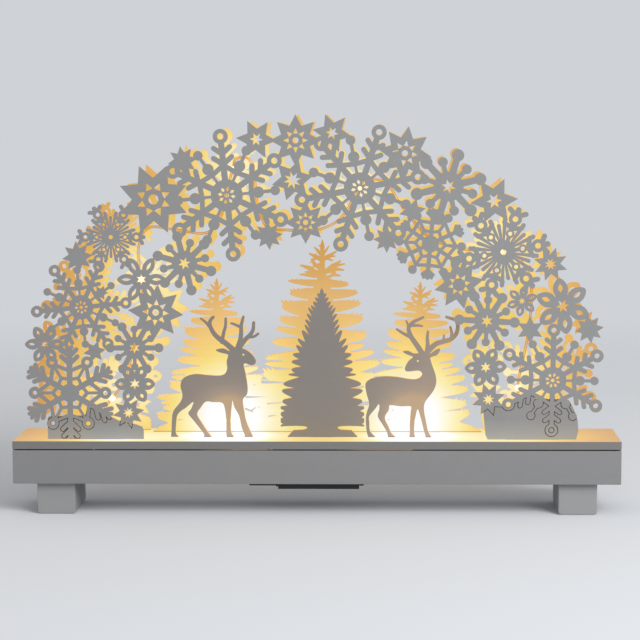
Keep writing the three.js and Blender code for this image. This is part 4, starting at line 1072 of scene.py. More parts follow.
def flakes_of_kind(kind):
    """A group (wood outlines, window outlines) for each flake of one kind."""
    drawn = FLAKE_KINDS[kind]
    # Each part's outlines, whether they are windows and whether they belong to the middle
    lists = [(drawn["arm"], 0, 0), (drawn["windows"], 1, 0), (drawn["middle"], 0, 1),
             (drawn["middle_windows"], 1, 1)]
    mesh = flat_mesh(kind, [outline for part, _, _ in lists for outline in part])
    attribute(mesh, "window", "INT", "FACE", [window for part, window, _ in lists for _ in part])
    attribute(mesh, "middle", "INT", "FACE", [middle for part, _, middle in lists for _ in part])
    spots = [place for name, *place in FLAKES if name == kind]
    places = places_of(kind, [(x, height, 0.0) for x, height, _, _ in spots])
    attribute(places.data, "reach", "FLOAT", "POINT", [reach for _, _, reach, _ in spots])
    attribute(places.data, "turn", "FLOAT", "POINT", [math.radians(turn) for _, _, _, turn in spots])
    attribute(places.data, "flake", "INT", "POINT", list(range(len(spots))))
    made = made_by(kind, mesh, FLAKE_TREE, {"Arms": drawn["arms"], "Places": places, "Paint": panel_paint})
    bpy.data.objects.remove(places)
    number = made.attributes["flake"]
    groups = [([], []) for _ in spots]
    for face in made.polygons:
        which = face.index if number.domain == "FACE" else face.vertices[0]
        group = groups[number.data[which].value]
        window = made.attributes["window"].data[face.index].value
        group[window].append([tuple(made.vertices[i].co[:2]) for i in face.vertices])
    return groups


flake_groups = [group for kind in FLAKE_KINDS for group in flakes_of_kind(kind)]
outline_count = sum(len(wood) + len(windows) for wood, windows in flake_groups)
print("flakes drawn:", len(flake_groups), "outlines:", outline_count)

# %% [markdown]
# ## The arches
#
# Both arches are cut from one drawing: the flakes, two snow mounds at the feet and the tabs that stand in
# the lid. Where a flake lies over a mound its outline would be lost, so the laser draws it there as a
# fine dark line.

# %% Mounds and tabs
TAB_DEPTH = 5.5
TAB_OVERLAP = 1.0
MOUND_TAB_WIDTH = 39
MOUND_TABS = (-163.5, 160)


def tab(centre, width):
    left, right = centre - width / 2, centre + width / 2
    return [(left, -TAB_DEPTH), (right, -TAB_DEPTH), (right, TAB_OVERLAP), (left, TAB_OVERLAP)]


left_mound = [(-200, 0), (-128.2, 0), (-128.1, 7.4), (-129.2, 9.4), (-133.8, 11.1), (-146.8, 14),
              (-154, 17.6), (-161.6, 21.6), (-164.4, 25.2), (-169.8, 25.2), (-171.6, 18), (-184, 17.4),
              (-199, 17), (-199.9, 15.6)]
right_mound = [(127.3, 0), (192.6, 0), (194.2, 6.5), (193.6, 14.4), (189.8, 24.8), (186.7, 29.3),
               (178, 30.4), (163.1, 30.4), (159.2, 34.3), (145.1, 27), (133, 25), (123.4, 25.2),
               (124.4, 17), (125.8, 3.2)]
mounds = [left_mound, right_mound]
print("mounds:", [round(max(x for x, _ in mound) - min(x for x, _ in mound)) for mound in mounds], "mm wide")

# %% Windows through the mounds
# Between these heights above the lid a flake's window is cut through the mound behind it
WINDOW_FLOOR = 9.5
WINDOW_CEILING = 40


def window_over(mound, window):
    """Whether a flake's window lies over a mound and high enough to be cut through it."""
    middle = sum((Vector(point) for point in window), Vector((0, 0))) / len(window)
    inside = min(x for x, _ in mound) < middle.x < max(x for x, _ in mound)
    return inside and WINDOW_FLOOR < middle.y < WINDOW_CEILING


cut_windows = [window for _, windows in flake_groups for window in windows
               if any(window_over(mound, window) for mound in mounds)]
mound_group = (mounds, cut_windows)
tab_group = ([tab(centre, MOUND_TAB_WIDTH) for centre in MOUND_TABS], [])
print("windows cut through the mounds:", len(cut_windows))

# %% Engraved lines where flakes lie over the mounds
LINE_WIDTH = 0.6


def engraved_lines(groups, solid):
    """Thin strips along the flakes' outlines where both sides are wood."""
    outlines, owners = listed(groups)
    points, triangles, holders = triangulated(outlines + solid)
    in_flake, in_mound = {}, {}
    for triangle, held in zip(triangles, holders):
        flakes_held = {i for i in held if i < len(outlines)}
        for edge in zip(triangle, triangle[1:] + triangle[:1]):
            in_flake[edge] = is_wood(flakes_held, owners)
            in_mound[edge] = len(held) > len(flakes_held)
    strips = []
    for (a, b), flake_side in in_flake.items():
        if flake_side and in_mound[a, b] and in_mound.get((b, a)) and not in_flake[b, a]:
            strips.append(bar(tuple(points[a]), tuple(points[b]), LINE_WIDTH))
    return strips


arch_rings = joined(flake_groups + [mound_group, tab_group])
arch_lines = engraved_lines(flake_groups, mounds)
print("rings:", len(arch_rings), "corners:", sum(map(len, arch_rings)), "engraved strips:", len(arch_lines))

# %% Laser lines
# Char is uneven: the laser's pulses leave spots about half a millimetre apart.
CHAR_SPOT = 0.5


def speckled(tree, size, dark, pale, detail=2.0, length=None):
    """Soft spots of a size in millimetres, or lines along X that also have a length.

    Returns how much of a spot each point is, and a colour that goes from dark to pale with it."""
    here = node(tree, "ShaderNodeTexCoord").outputs["Object"]
    scale = (1 / ((length or size) * MM), 1 / (size * MM), 1 / (size * MM))
    stretched = node(tree, "ShaderNodeMapping", inputs={"Vector": here, "Scale": scale}).outputs[0]
    spots = node(tree, "ShaderNodeTexNoise",
                 inputs={"Vector": stretched, "Scale": 1.0, "Detail": detail}).outputs["Fac"]
    tint = node(tree, "ShaderNodeMix", {"data_type": "RGBA"},
                {"Factor": spots, "A": linear(dark), "B": linear(pale)}).outputs["Result"]
    return spots, tint


groove_paint, groove_tree = new_material("laser line in paint")
char_tint = speckled(groove_tree, CHAR_SPOT, 0x2E2B28, 0x524E49)[1]
groove_shader = node(groove_tree, "ShaderNodeBsdfPrincipled",
                     inputs={"Base Color": char_tint, "Roughness": 0.85, "Specular IOR Level": 0.2})
node(groove_tree, "ShaderNodeOutputMaterial", inputs={"Surface": groove_shader.outputs[0]})
print("laser lines:", groove_paint.name)

# %% Front and back arch
panel("snowflake_arch_front", "front_arch", arch_rings,
      [panel_paint, front_edge, dim_back, groove_paint], arch_lines)
panel("snowflake_arch_back", "back_arch", arch_rings,
      [lit_arch, lit_edge, panel_paint])

# %% [markdown]
# ## The lit fir trees
#
# Three fir trees and the snow between them are one panel. A fir's edge is a row of drooping fronds with
# narrow slits between them. A frond's edge is two bulging curves that meet at its tip, so each side of a
# tree is listed only by its tips and by the bottoms of its slits. Above the fronds the top is open: a
# stem with twigs, and holes between them. The two outer trees are the middle one at about four fifths of
# its size.

# %% Fronds
FROND_STEPS = 6
FROND_FULLNESS = 0.7
# Where the two handles of a frond's edge lie, as shares of its length from the slit and from the tip
SLIT_HANDLE = 0.45
TIP_HANDLE = 0.12
# How far they bulge out, as shares of the frond's thickness, and how far the first is drawn in
SLIT_BULGE = 0.17
TIP_BULGE = 0.36
SLIT_DRAWN_IN = 0.06


def to_the_side(along):
    """A direction across a frond or a needle, on its upper side."""
    return Vector((-along.y, along.x)).normalized() * math.copysign(1, along.x)


def frond_edge(slit, tip, way, thickness, fullness):
    """One edge of a frond from a slit to near the tip, bulging up (way 1) or down (way -1)."""
    along = tip - slit
    side = to_the_side(along) * way
    near = slit + along * SLIT_HANDLE + side * thickness * (SLIT_BULGE * fullness - SLIT_DRAWN_IN)
    far = tip - along * TIP_HANDLE + side * thickness * TIP_BULGE * fullness
    points = []
    for step in range(FROND_STEPS):
        t = step / FROND_STEPS
        rest = 1 - t
        points.append(slit * rest ** 3 + 3 * near * t * rest ** 2 + 3 * far * t ** 2 * rest + tip * t ** 3)
    return points


def frond(above, tip, below, root, fullness):
    """A blunt frond between the bottoms of two slits, closed at a root point inside the tree."""
    above, tip, below = Vector(above), Vector(tip), Vector(below)
    axis = (tip - (above + below) / 2).normalized()
    thickness = abs((above - below).cross(axis))
    upper = frond_edge(above, tip, 1, thickness, fullness)
    lower = frond_edge(below, tip, -1, thickness, fullness)
    return [tuple(point) for point in upper + [tip] + lower[::-1] + [Vector(root)]]


def fronds(side, fullness=FROND_FULLNESS):
    """All fronds of a side, listed as slit, tip, slit, tip, slit."""
    return [frond(above, tip, below, (0, (above[1] + below[1]) / 2), fullness)
            for above, tip, below in zip(side[0::2], side[1::2], side[2::2])]


print("points of a frond:", len(fronds([(0, 4), (9, 1), (0, 0)])[0]))

# %% Needles and slits
# Where the needles stand along a frond, and the fronds that are long and thick enough to have them
NEEDLE_PLACES = (0.42, 0.6, 0.76)
NEEDLE_FROND_LENGTH = 9
NEEDLE_FROND_THICKNESS = 2.5
# A needle's lean, height and widths as shares of the frond's thickness, and its loss of height to the tip
NEEDLE_LEAN = 0.36
NEEDLE_HEIGHT = 0.6
NEEDLE_LOSS = 0.42
NEEDLE_ROOT = 0.24
NEEDLE_POINT = 0.06


def needles(side):
    """Short needles along the upper edge of each long frond."""
    made = []
    for above, tip, below in zip(side[0::2], side[1::2], side[2::2]):
        root, tip = (Vector(above) + Vector(below)) / 2, Vector(tip)
        along = tip - root
        thickness = abs((Vector(above) - Vector(below)).cross(along.normalized()))
        if along.length < NEEDLE_FROND_LENGTH or thickness < NEEDLE_FROND_THICKNESS:
            continue
        for share in NEEDLE_PLACES:
            foot = root + along * share
            lean = along.normalized() * thickness * NEEDLE_LEAN
            height = to_the_side(along) * thickness * (NEEDLE_HEIGHT - NEEDLE_LOSS * share)
            made.append(bar(foot, foot + lean + height, thickness * NEEDLE_ROOT, thickness * NEEDLE_POINT))
    return made


# Only the slits above this height are widened
SLIT_WIDTH = 1.5
SLITS_ABOVE = 50


def slits_between(side):
    """Windows that widen each slit from its bottom to the gap between the two tips."""
    made = []
    for upper, bottom, lower in zip(side[1::2], side[2::2], side[3::2]):
        bottom, mouth = Vector(bottom), (Vector(upper) + Vector(lower)) / 2
        reach = max(abs(upper[0]), abs(lower[0]))
        mouth = bottom + (mouth - bottom) * (reach - abs(bottom.x)) / max(abs(mouth.x) - abs(bottom.x), 1)
        if bottom.y > SLITS_ABOVE:
            made.append(bar(bottom + (mouth - bottom).normalized() * SLIT_WIDTH / 2, mouth, SLIT_WIDTH))
    return made


print("needles on a frond:", len(needles([(0, 4), (12, 1), (0, 0)])))

# %% Outline of the middle fir tree
# Slit bottoms and tips in turn, as (reach, height), from the top down
tree_right = [(4.6, 116.6), (19.5, 112.3), (5.6, 109.4), (26.6, 106.2), (7.3, 100.4), (28.6, 98),
              (8.7, 90.5), (30.3, 86.4), (11.2, 78.3), (32.9, 73.7), (18.1, 67.2), (31.1, 66.1),
              (20.5, 61.4), (38.6, 61.3), (23.9, 54.6), (42.9, 52.9), (27.5, 45.9), (46, 41.2),
              (18.4, 33.7), (44.5, 27), (21.5, 20.2), (47, 18.6), (38.4, 11.2)]
tree_left = [(-4.5, 116), (-26.7, 115.2), (-7.1, 110.3), (-25.3, 106), (-11.2, 100.7), (-31.2, 96.4),
             (-18.5, 88.2), (-33, 86), (-20.6, 79.6), (-35.9, 79), (-19.5, 72.8), (-38.6, 68.5),
             (-17.2, 63.2), (-44.2, 56.4), (-31, 54.4), (-44.5, 52), (-21.8, 48.2), (-46, 44.8),
             (-33.5, 36.8), (-58.5, 33), (-46, 29.6), (-54.5, 27.5), (-43.5, 25.2), (-52.6, 22.6),
             (-42.5, 19.6), (-58, 14.8), (-48, 9)]
# The open top: its stem and twigs as tapered bars, with their widths, and the holes between them
top_twigs = [
    ((-3.6, 126.6), (-2.4, 122.0), 4.5, 5.6), ((-7.0, 129.3), (-5.5, 126.0), 2.5, 3.1),
    ((-0.5, 115.2), (-0.5, 122.0), 8.4, 4.7), ((-0.5, 122.0), (-0.4, 135.0), 4.3, 3.4),
    ((-0.4, 135.0), (-0.4, 141.2), 2.9, 3.4), ((-0.4, 141.2), (-0.3, 146.2), 3.7, 0.5),
    ((-0.8, 140.5), (-2.8, 141.9), 1.7, 0.7), ((-1.1, 134.3), (-3.9, 138.1), 2.5, 2.2),
    ((-3.9, 138.1), (-6.3, 140.5), 2.1, 0.8), ((0.5, 135.0), (2.4, 138.3), 1.7, 1.7),
    ((2.4, 138.3), (4.5, 141.3), 1.7, 0.8), ((-1.4, 131.3), (-5.9, 133.7), 3.5, 3.0),
    ((-5.9, 133.7), (-10.0, 135.7), 2.6, 1.2), ((-5.1, 133.7), (-5.7, 135.7), 1.5, 0.8),
    ((-4.2, 132.2), (-8.7, 131.2), 2.0, 1.2), ((-7.7, 130.9), (-9.4, 128.7), 1.3, 0.7),
    ((-7.7, 130.9), (-6.1, 126.2), 1.7, 2.5), ((0.3, 131.3), (4.5, 133.9), 3.5, 3.1),
    ((4.5, 133.9), (10.1, 137.3), 2.6, 1.1), ((5.1, 133.7), (9.3, 133.8), 2.2, 0.8),
    ((3.7, 132.1), (7.6, 130.2), 2.2, 0.8), ((1.7, 120.9), (6.8, 125.9), 5.0, 4.4),
    ((6.8, 125.9), (13.1, 130.0), 3.7, 1.3), ((9.6, 126.7), (16.5, 127.9), 2.5, 0.8),
    ((7.9, 124.2), (15.7, 123.3), 3.4, 1.0), ((2.2, 118.3), (7.9, 120.9), 5.6, 3.9),
    ((7.3, 120.0), (12.9, 119.0), 3.1, 1.0), ((-2.0, 119.2), (-8.2, 123.4), 5.6, 4.9),
    ((-8.2, 124.0), (-16.5, 126.9), 4.0, 1.3), ((-8.2, 120.9), (-13.5, 122.0), 3.4, 0.9),
    ((-6.2, 119.2), (-17.4, 120.0), 3.9, 1.0),
]
top_holes = [
    [(-5.2, 128.4), (-5.0, 129.8), (-4.0, 130.6), (-3.0, 130.2), (-2.9, 129.0), (-3.8, 128.1)],
    [(-6.9, 125.4), (-5.5, 125.2), (-3.8, 124.0), (-4.1, 123.1), (-5.5, 123.5), (-6.8, 124.4)],
    [(1.8, 130.0), (3.4, 130.2), (5.2, 129.2), (7.9, 129.1), (5.7, 127.2), (3.6, 125.4), (2.2, 124.4),
     (1.9, 126.5)],
    [(2.1, 119.3), (2.8, 120.4), (5.6, 121.2), (6.6, 120.9), (5.7, 119.9), (3.3, 119.0)],
]

# The core's top, its foot on the right and its foot on the left
TREE_TOP = (0, 124)
TREE_FOOT = [(34, 0), (-48, 0)]
print("fronds on the right and left:", len(tree_right) // 2, "and", len(tree_left) // 2)

# %% A fir tree at a place and size
def fir_tree(centre, size):
    """The outlines of a tree: its core through the slits, its fronds and its top. Its holes come second."""
    core = [TREE_TOP] + tree_right[0::2] + TREE_FOOT + tree_left[0::2][::-1]
    wood = [core] + [outline for side in (tree_right, tree_left) for outline in fronds(side) + needles(side)]
    wood += [bar(*twig) for twig in top_twigs]
    holes = top_holes + slits_between(tree_right) + slits_between(tree_left)
    return tuple([[(centre + x * size, y * size) for x, y in outline] for outline in outlines]
                 for outlines in (wood, holes))


print("outlines of a tree:", len(fir_tree(0, 1)[0]))

# %% Snow ground and its dark slits
# Each fir's middle, in millimetres, and its size
FIRS = ((4.8, 1.0), (-75.2, 0.802), (78.4, 0.782))
# Each tab's middle and width
TREE_TABS = ((-75.2, 24), (4.7, 24), (80.2, 24))
ground = [(-125.4, 0), (-121, 3.5), (-111, 7.4), (-99, 7), (-84, 16), (-66, 30), (-56, 41), (-40, 40),
          (-20, 40), (30, 44), (48, 45), (60, 42), (78, 26), (92, 12), (106, 8), (115, 5), (121, 2.4),
          (124.8, 0)]
# Each slit is a tapered bar: start, end, widths
slits = [
    ((-53.8, 26.6), (-39.3, 26.8), 1.9, 0.5), ((-37.8, 21.5), (-25.8, 22.6), 1.3, 0.6),
    ((-54.4, 17.6), (-49.5, 15.6), 1.8, 1.5), ((-50, 16.4), (-46.4, 19), 1.2, 0.6),
    ((-44.8, 19), (-43.6, 18.9), 0.9, 0.7), ((-36.9, 11.8), (-31.6, 12.8), 1.4, 0.8),
    ((-47.8, 36), (-47.4, 36), 1.2, 1.0), ((-41.4, 38.2), (-23.6, 37.9), 2.8, 0.8),
    ((-106.4, 8.9), (-102.1, 9.6), 1.2, 0.6), ((32.5, 21.5), (38.8, 22), 3.0, 3.2),
    ((47.4, 8.5), (48.6, 8.3), 0.8, 0.6), ((53.6, 9.2), (55, 9.4), 0.9, 0.7),
    ((56.8, 16.7), (57.6, 16.8), 0.9, 0.7), ((25.1, 34.7), (30.4, 33.9), 1.6, 1.4),
    ((31.8, 33.8), (35.5, 35), 1.8, 0.8),
]
firs = [fir_tree(*spec) for spec in FIRS]
tree_group = (
    [outline for wood, _ in firs for outline in wood] + [ground] + [tab(*spec) for spec in TREE_TABS],
    [bar(*slit) for slit in slits] + [hole for _, holes in firs for hole in holes],
)
panel("lit_fir_trees", "tree_panel", joined([tree_group]),
      [lit_trees, lit_edge, panel_paint])

# %% [markdown]
# ## The plain tree in front
#
# The plain tree is cut the same way, with short twigs that point up and out. Its foot spreads as a snow
# mound and two wavy slits part it from the lowest twigs.

# %% Plain tree
PLAIN_TREE_X = middle_of("centre_tree").x / MM
# Notches and twig tips in turn, as (half width, height), from the top down
twigs = [(1.7, 107.4), (3.4, 107.6), (2.2, 104), (5, 104.6), (3, 100.6), (6.5, 101.4), (4.4, 96.6),
         (8.2, 98.8), (6, 94), (10.2, 97.2), (7.2, 90.2), (11.2, 92.6), (8, 86), (12.4, 88.2), (8.6, 81),
         (13, 84.4), (9.4, 76.4), (14.8, 80.2), (12.4, 71.2), (18.2, 74), (14.2, 67), (19.2, 69),
         (16.6, 63.4), (21.8, 62.2), (17.2, 58.6), (22.8, 56.6), (15.2, 53), (22.8, 51), (20.2, 48.2),
         (25.4, 47), (16.6, 45.2), (29.1, 40), (20.3, 36.8), (30.2, 35), (22.3, 29.6), (29.8, 27.2),
         (26, 23.6), (32, 22.4), (28, 19.6), (31.2, 17.6), (29.2, 14.4), (33.6, 13.2), (29.4, 9.8),
         (33, 8), (27, 8.2)]
TWIG_FULLNESS = 0.6
# The twigs stop short of the deer's leg, which stands in the same plane.
TWIG_OVERHANG = 0.2
PLAIN_TREE_REACH = (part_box("centre_tree")[1].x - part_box("centre_tree")[0].x) / MM / 2 + TWIG_OVERHANG
PLAIN_TREE_TOP = [(0, 112), (1.1, 110)]
TRUNK_AND_FOOT = [(24, 8.6), (14, 8.2), (11.5, 7.6), (11.3, 6.4), (14, 5.4), (21.8, 5), (26.3, 0)]
PLAIN_TREE_TAB = 17


def plain_tree():
    """The outlines of the plain tree: its core through the notches, and its twigs on both sides."""
    core = PLAIN_TREE_TOP + twigs[0::2] + TRUNK_AND_FOOT
    right = fronds(twigs, TWIG_FULLNESS)
    left = [[(-x, y) for x, y in twig] for twig in right]
    outlines = [core + [(-x, y) for x, y in core[:0:-1]]] + right + left
    return [[(PLAIN_TREE_X + min(max(x, -PLAIN_TREE_REACH), PLAIN_TREE_REACH), y) for x, y in outline]
            for outline in outlines]


plain_rings = joined([(plain_tree() + [tab(PLAIN_TREE_X, PLAIN_TREE_TAB)], [])])
panel("plain_fir_tree", "centre_tree", plain_rings, [inner_paint, front_edge, dim_back])

# %% [markdown]
# ## The deer
#
# Each deer is one cut-out. Its body is a list of points with a smooth curve through them, and its antlers
# are tapered bars with round ends, joined to the body as the laser would cut them. The eye is a small
# hole.

# %% Smooth curves
def curve_through(corners, steps):
    """A smooth curve from the second to the last but one of the corners, without its last point."""
    smooth = []
    for corner in zip(corners, corners[1:], corners[2:], corners[3:]):
        p0, p1, p2, p3 = map(Vector, corner)
        for step in range(steps):
            t = step / steps
            smooth.append(tuple(0.5 * (2 * p1 + (p2 - p0) * t + (2 * p0 - 5 * p1 + 4 * p2 - p3) * t ** 2
                                       + (3 * p1 - p0 - 3 * p2 + p3) * t ** 3)))
    return smooth


def closed_curve(points, steps=3):
    return curve_through([points[-1]] + points + points[:2], steps)


def swept(points, first_width, last_width, steps=4):
    """Bars along a smooth curve that narrow from its first to its last width."""
    curve = curve_through(points[:1] + points + points[-1:], steps) + [tuple(Vector(points[-1]))]
    widths = [first_width + (last_width - first_width) * i / (len(curve) - 1) for i in range(len(curve))]
    return [bar(a, b, w, v) for a, b, w, v in zip(curve, curve[1:], widths, widths[1:])]


print("bars of a swept antler:", len(swept([(0, 0), (3, 4), (4, 9)], 4, 2)))

# %% Outline of the left deer, in millimetres from the middle of its body
left_body = [
    (-23, 43.4), (-24.4, 38.2), (-23, 32), (-24.4, 26.7), (-30, 19.5), (-31.2, 12), (-31.5, 5), (-32, 0.2),
    (-31.8, 0), (-26.5, 0), (-26.3, 0.2), (-28.3, 3), (-27.9, 11.5), (-27, 16.4), (-24.4, 19.5),
    (-20.6, 22), (-14.8, 26.6), (-16.7, 21), (-18.8, 17.7), (-14.8, 12.4), (-10.6, 7), (-7.1, 2.2),
    (-7.2, 0), (-6.9, 0), (-1.9, 0), (-1.7, 0.2), (-4.5, 4), (-9.1, 11.2), (-12.2, 17.2), (-9.5, 22),
    (-5.5, 26.7), (-0.2, 26.3), (6.9, 25.8), (8.9, 20.4), (9.8, 11.8), (9.7, 3.3), (10, 0.2), (10.2, 0),
    (15, 0), (15.1, 0.2), (13.1, 4), (13, 14.6), (13.9, 24.2), (14.6, 27.5), (15.8, 22.7), (19.4, 16),
    (21.3, 7), (23.4, 1.7), (23.4, 0.2), (23.6, 0), (29.2, 0), (29.4, 0.2), (27.6, 4.4), (24.6, 11.8),
    (23.2, 19.4), (22.2, 28), (25.4, 32.3), (25.8, 38.5), (24.4, 48), (23, 54.6), (25, 55.4), (28.1, 54.3),
    (30.9, 54.6), (32.3, 57.1), (30.4, 60.9), (26.9, 64.4), (23.2, 66.4), (20, 67), (15, 67), (12.8, 64.6),
    (8, 66.7), (2.3, 65.6), (5.6, 63.7), (10.4, 62.6), (11.6, 61.3), (10.4, 56.9), (10.8, 51.8), (9, 47.7),
    (4.7, 46.3), (-3.9, 46.7), (-12.5, 47.5), (-18.8, 46.2),
]
# Each antler beam or branch: points, then its width at the root and at the end
left_antlers = [
    ([(15.4, 65.6), (9.8, 70.6), (4.9, 74.1), (1, 78.1), (-1.5, 83.1), (-1.9, 86.4), (-0.7, 88.8),
      (0.8, 90.2)], 4.2, 2.2),
    ([(-1.6, 82.6), (-4.9, 86.4), (-8.7, 89.3)], 2.6, 1.4),
    ([(7, 71.4), (8.4, 78.6), (9.8, 83.6), (10, 89.2)], 2.8, 1.8),
    ([(17.6, 64.6), (20.6, 72.6), (21.4, 78.6), (21.5, 83.6), (22.4, 87.6), (23.2, 90.4)], 3.8, 1.8),
    ([(21.4, 82.6), (17.4, 84.4), (14.2, 85.6)], 2.2, 1.6),
    ([(19, 66), (24.3, 73.1), (27.8, 76.6), (30.3, 80.6), (30.8, 86)], 3.8, 2.2),
    ([(27.6, 75.4), (31, 75.6), (34.2, 77.8)], 2.4, 1.6),
]
print("points of the left deer:", len(left_body))

# %% Outline of the right deer
right_body = [
    (-34.6, 40), (-30, 44), (-21.5, 45.7), (-11.7, 45.4), (-3.7, 44), (2, 43.5), (6, 44.8), (7.7, 47.4),
    (6.5, 49.4), (4.3, 50.1), (-0.3, 49.6), (-3.7, 49.5), (-5.3, 51.1), (-4.3, 54.2), (-2, 57.7),
    (0.9, 60.2), (-3.7, 62.2), (-6.8, 64.3), (-2.6, 64.8), (1.7, 62.8), (8.2, 63.7), (12.9, 64.8),
    (13.7, 62.8), (17.4, 65.4), (20.9, 66.5), (19.1, 62), (14, 60), (14, 57.4), (15.7, 52.3), (17.7, 46.2),
    (18, 40.5), (16.2, 35.3), (12.9, 30.7), (9.4, 25.5), (9.1, 19.2), (10.6, 11.2), (12, 4.4), (14.3, 0.2),
    (14.1, 0), (10.5, 0), (10.3, 0.2), (8.9, 5), (7.1, 12.4), (4.5, 20.9), (3.1, 17.5), (1.9, 10.6),
    (1.6, 4.4), (2.2, 0.2), (2, 0), (-1.6, 0), (-1.8, 0.2), (-1.5, 4.4), (-1.5, 11.2), (-0.9, 19.2),
    (-0.9, 23.2), (-8.4, 23.2), (-16.4, 24.1), (-17.2, 20.4), (-20.3, 14.7), (-17.5, 7.8), (-15.2, 2.7),
    (-12.6, 0.2), (-12.8, 0), (-17.6, 0), (-17.8, 0.2), (-18.9, 4.4), (-22.6, 10.6), (-25.5, 15.8),
    (-24.3, 20.9), (-24.6, 24.9), (-27.2, 21.5), (-31.8, 15.8), (-31.8, 11.2), (-31.2, 4.4), (-27.5, 0.2),
    (-27.7, 0), (-32.4, 0), (-32.6, 0.2), (-33.8, 4.4), (-34.4, 13.5), (-33.5, 19.2), (-31.8, 24.9),
    (-33.5, 31.8),
]
right_antlers = [
    ([(8.2, 62), (3.5, 69.3), (-0.1, 74.5), (-2.2, 79.4), (-2.2, 82.8), (0.9, 86.2), (5.1, 88.3),
      (8.4, 89.9)], 4.2, 1.8),
    ([(-1, 75.2), (-6.3, 77.8), (-11.2, 81)], 2.8, 1.5),
    ([(-2.5, 82.6), (-3.3, 85.2), (-4.2, 87.2)], 1.9, 1.3),
    ([(-0.6, 83.8), (4.1, 83.8), (7.6, 83.4)], 2.4, 1.5),
    ([(10.8, 62), (11.7, 69.3), (11.4, 74.5), (11.9, 79.2)], 3.6, 1.8),
    ([(11.4, 64), (17.6, 69.8), (23.8, 71.9), (29, 73.6), (32.9, 77.8), (34, 83.2), (32.5, 87.6),
      (28.9, 89), (25.6, 90)], 4, 2),
    ([(29.3, 73.9), (29.5, 78.1), (28.5, 82.6)], 2.6, 1.6),
    ([(22.8, 71.4), (23.5, 74), (23.8, 76.4)], 1.9, 1.3),
]
print("points of the right deer:", len(right_body))

# %% The two deer
EYE_RADIUS = 0.8
EYE_SIDES = 12
# Eyes, tabs as (middle, width), and the reach of each outline to the left of its body's middle
LEFT_EYE = (22.9, 62)
RIGHT_EYE = (4.4, 57.2)
LEFT_TABS = [(-4.4, 4.4), (12.5, 4.2)]
RIGHT_TABS = [(-15.2, 4.2), (12.3, 3.6)]
LEFT_REACH = 32
RIGHT_REACH = 34.6


def deer(name, cad_node, reach, body, antlers, eye, tabs):
    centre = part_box(cad_node)[0].x / MM + reach
    wood = [[(centre + x, max(y, 0.0)) for x, y in closed_curve(body)]]
    wood += [[(centre + x, y) for x, y in piece] for antler in antlers for piece in swept(*antler)]
    wood += [tab(centre + x, width) for x, width in tabs]
    hole = disc((centre + eye[0], eye[1]), EYE_RADIUS, EYE_SIDES)
    panel(name, cad_node, joined([(wood, [hole])]), [inner_paint, front_edge, dim_back])


deer("standing_deer_left", "deer_left", LEFT_REACH, left_body, left_antlers, LEFT_EYE, LEFT_TABS)
deer("standing_deer_right", "deer_right", RIGHT_REACH, right_body, right_antlers, RIGHT_EYE, RIGHT_TABS)

# %% [markdown]
# ## The base: boards and feet
#
# The base is a long box of thin boards on two cross blocks. On the real one the boards' edges are sanded,
# so no edge is a knife edge. The solids already have the right shape and the slots for the panels, so
# each board is a copy of its solid, merged from loose triangles, with its sharp edges rounded by a bevel.

# %% Boards with rounded edges
# The rounding of boards and of feet, and how near two corners are to be one, in millimetres
EDGE_ROUND = 0.4
FOOT_ROUND = 0.8
MERGE = 0.01
# Edges flatter than the first angle go, and edges sharper than the second are rounded
FLAT = math.radians(1)
SHARP = math.radians(35)
FACES_UP = 0.9


def rounded_copy(name, cad_node, materials, roundness=EDGE_ROUND, body="root", top=False):
    """A copy of a CAD node with rounded edges. With top, its upward faces get the second material."""
    shape = bmesh.new()
    shape.from_mesh(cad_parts[cad_node].data)
    bmesh.ops.remove_doubles(shape, verts=shape.verts, dist=MERGE * MM)
    bmesh.ops.dissolve_limit(shape, angle_limit=FLAT, verts=shape.verts, edges=shape.edges)
    sharp = [edge for edge in shape.edges if edge.is_manifold and edge.calc_face_angle() > SHARP]
    bmesh.ops.bevel(shape, geom=sharp, offset=roundness * MM, segments=2, profile=0.6, affect="EDGES",
                    clamp_overlap=True)
    bmesh.ops.recalc_face_normals(shape, faces=shape.faces)
    for face in shape.faces:
        face.material_index = int(top and face.normal.z > FACES_UP)
    open_edges = sum(not edge.is_manifold for edge in shape.edges)
    mesh = bpy.data.meshes.new(name)
    shape.to_mesh(mesh)
    shape.free()
    for material in materials:
        mesh.materials.append(material)
    finished(name, mesh, body, [cad_node])
    print("  open edges:", open_edges)


rounded_copy("lid_board", "top_board", [lid_edge_paint, lit_lid], top=True)
for board in ("front_board", "back_board", "bottom_board", "end_board_left", "end_board_right"):
    rounded_copy(board + "_sanded", board, [base_paint])
for foot in ("foot_left", "foot_right"):
    rounded_copy(foot + "_block", foot, [foot_lit_paint], FOOT_ROUND)

# %% [markdown]
# ## Copies at places
#
# Lamps and screws are one shape each, set down several times. The shape is turned on a lathe, that is a
# profile spun round an axis, and a node tree puts a copy at every point of a second object, tipped by a
# named input.

# %% Turned shapes
def lathe(name, profile, sides=24):
    """A closed shape round Z from pairs (radius, height) in millimetres that start and end on the axis."""
    corners = [(0, 0, profile[0][1] * MM)]
    for radius, height in profile[1:-1]:
        corners += [(x * MM, y * MM, height * MM) for x, y in disc((0, 0), radius, sides)]
    corners.append((0, 0, profile[-1][1] * MM))
    last = len(corners) - 1
    faces = []
    for i in range(sides):
        j = (i + 1) % sides
        faces.append((0, 1 + j, 1 + i))
        for ring in range(len(profile) - 3):
            a, b = 1 + ring * sides, 1 + (ring + 1) * sides
            faces.append((a + i, a + j, b + j, b + i))
        top = 1 + (len(profile) - 3) * sides
        faces.append((last, top + i, top + j))
    mesh = bpy.data.meshes.new(name)
    mesh.from_pydata(corners, [], faces)
    mesh.polygons.foreach_set("use_smooth", [True] * len(faces))
    return mesh


print("faces of a turned cone:", len(lathe("cone", [(0, 0), (1, 0), (0, 2)]).polygons))

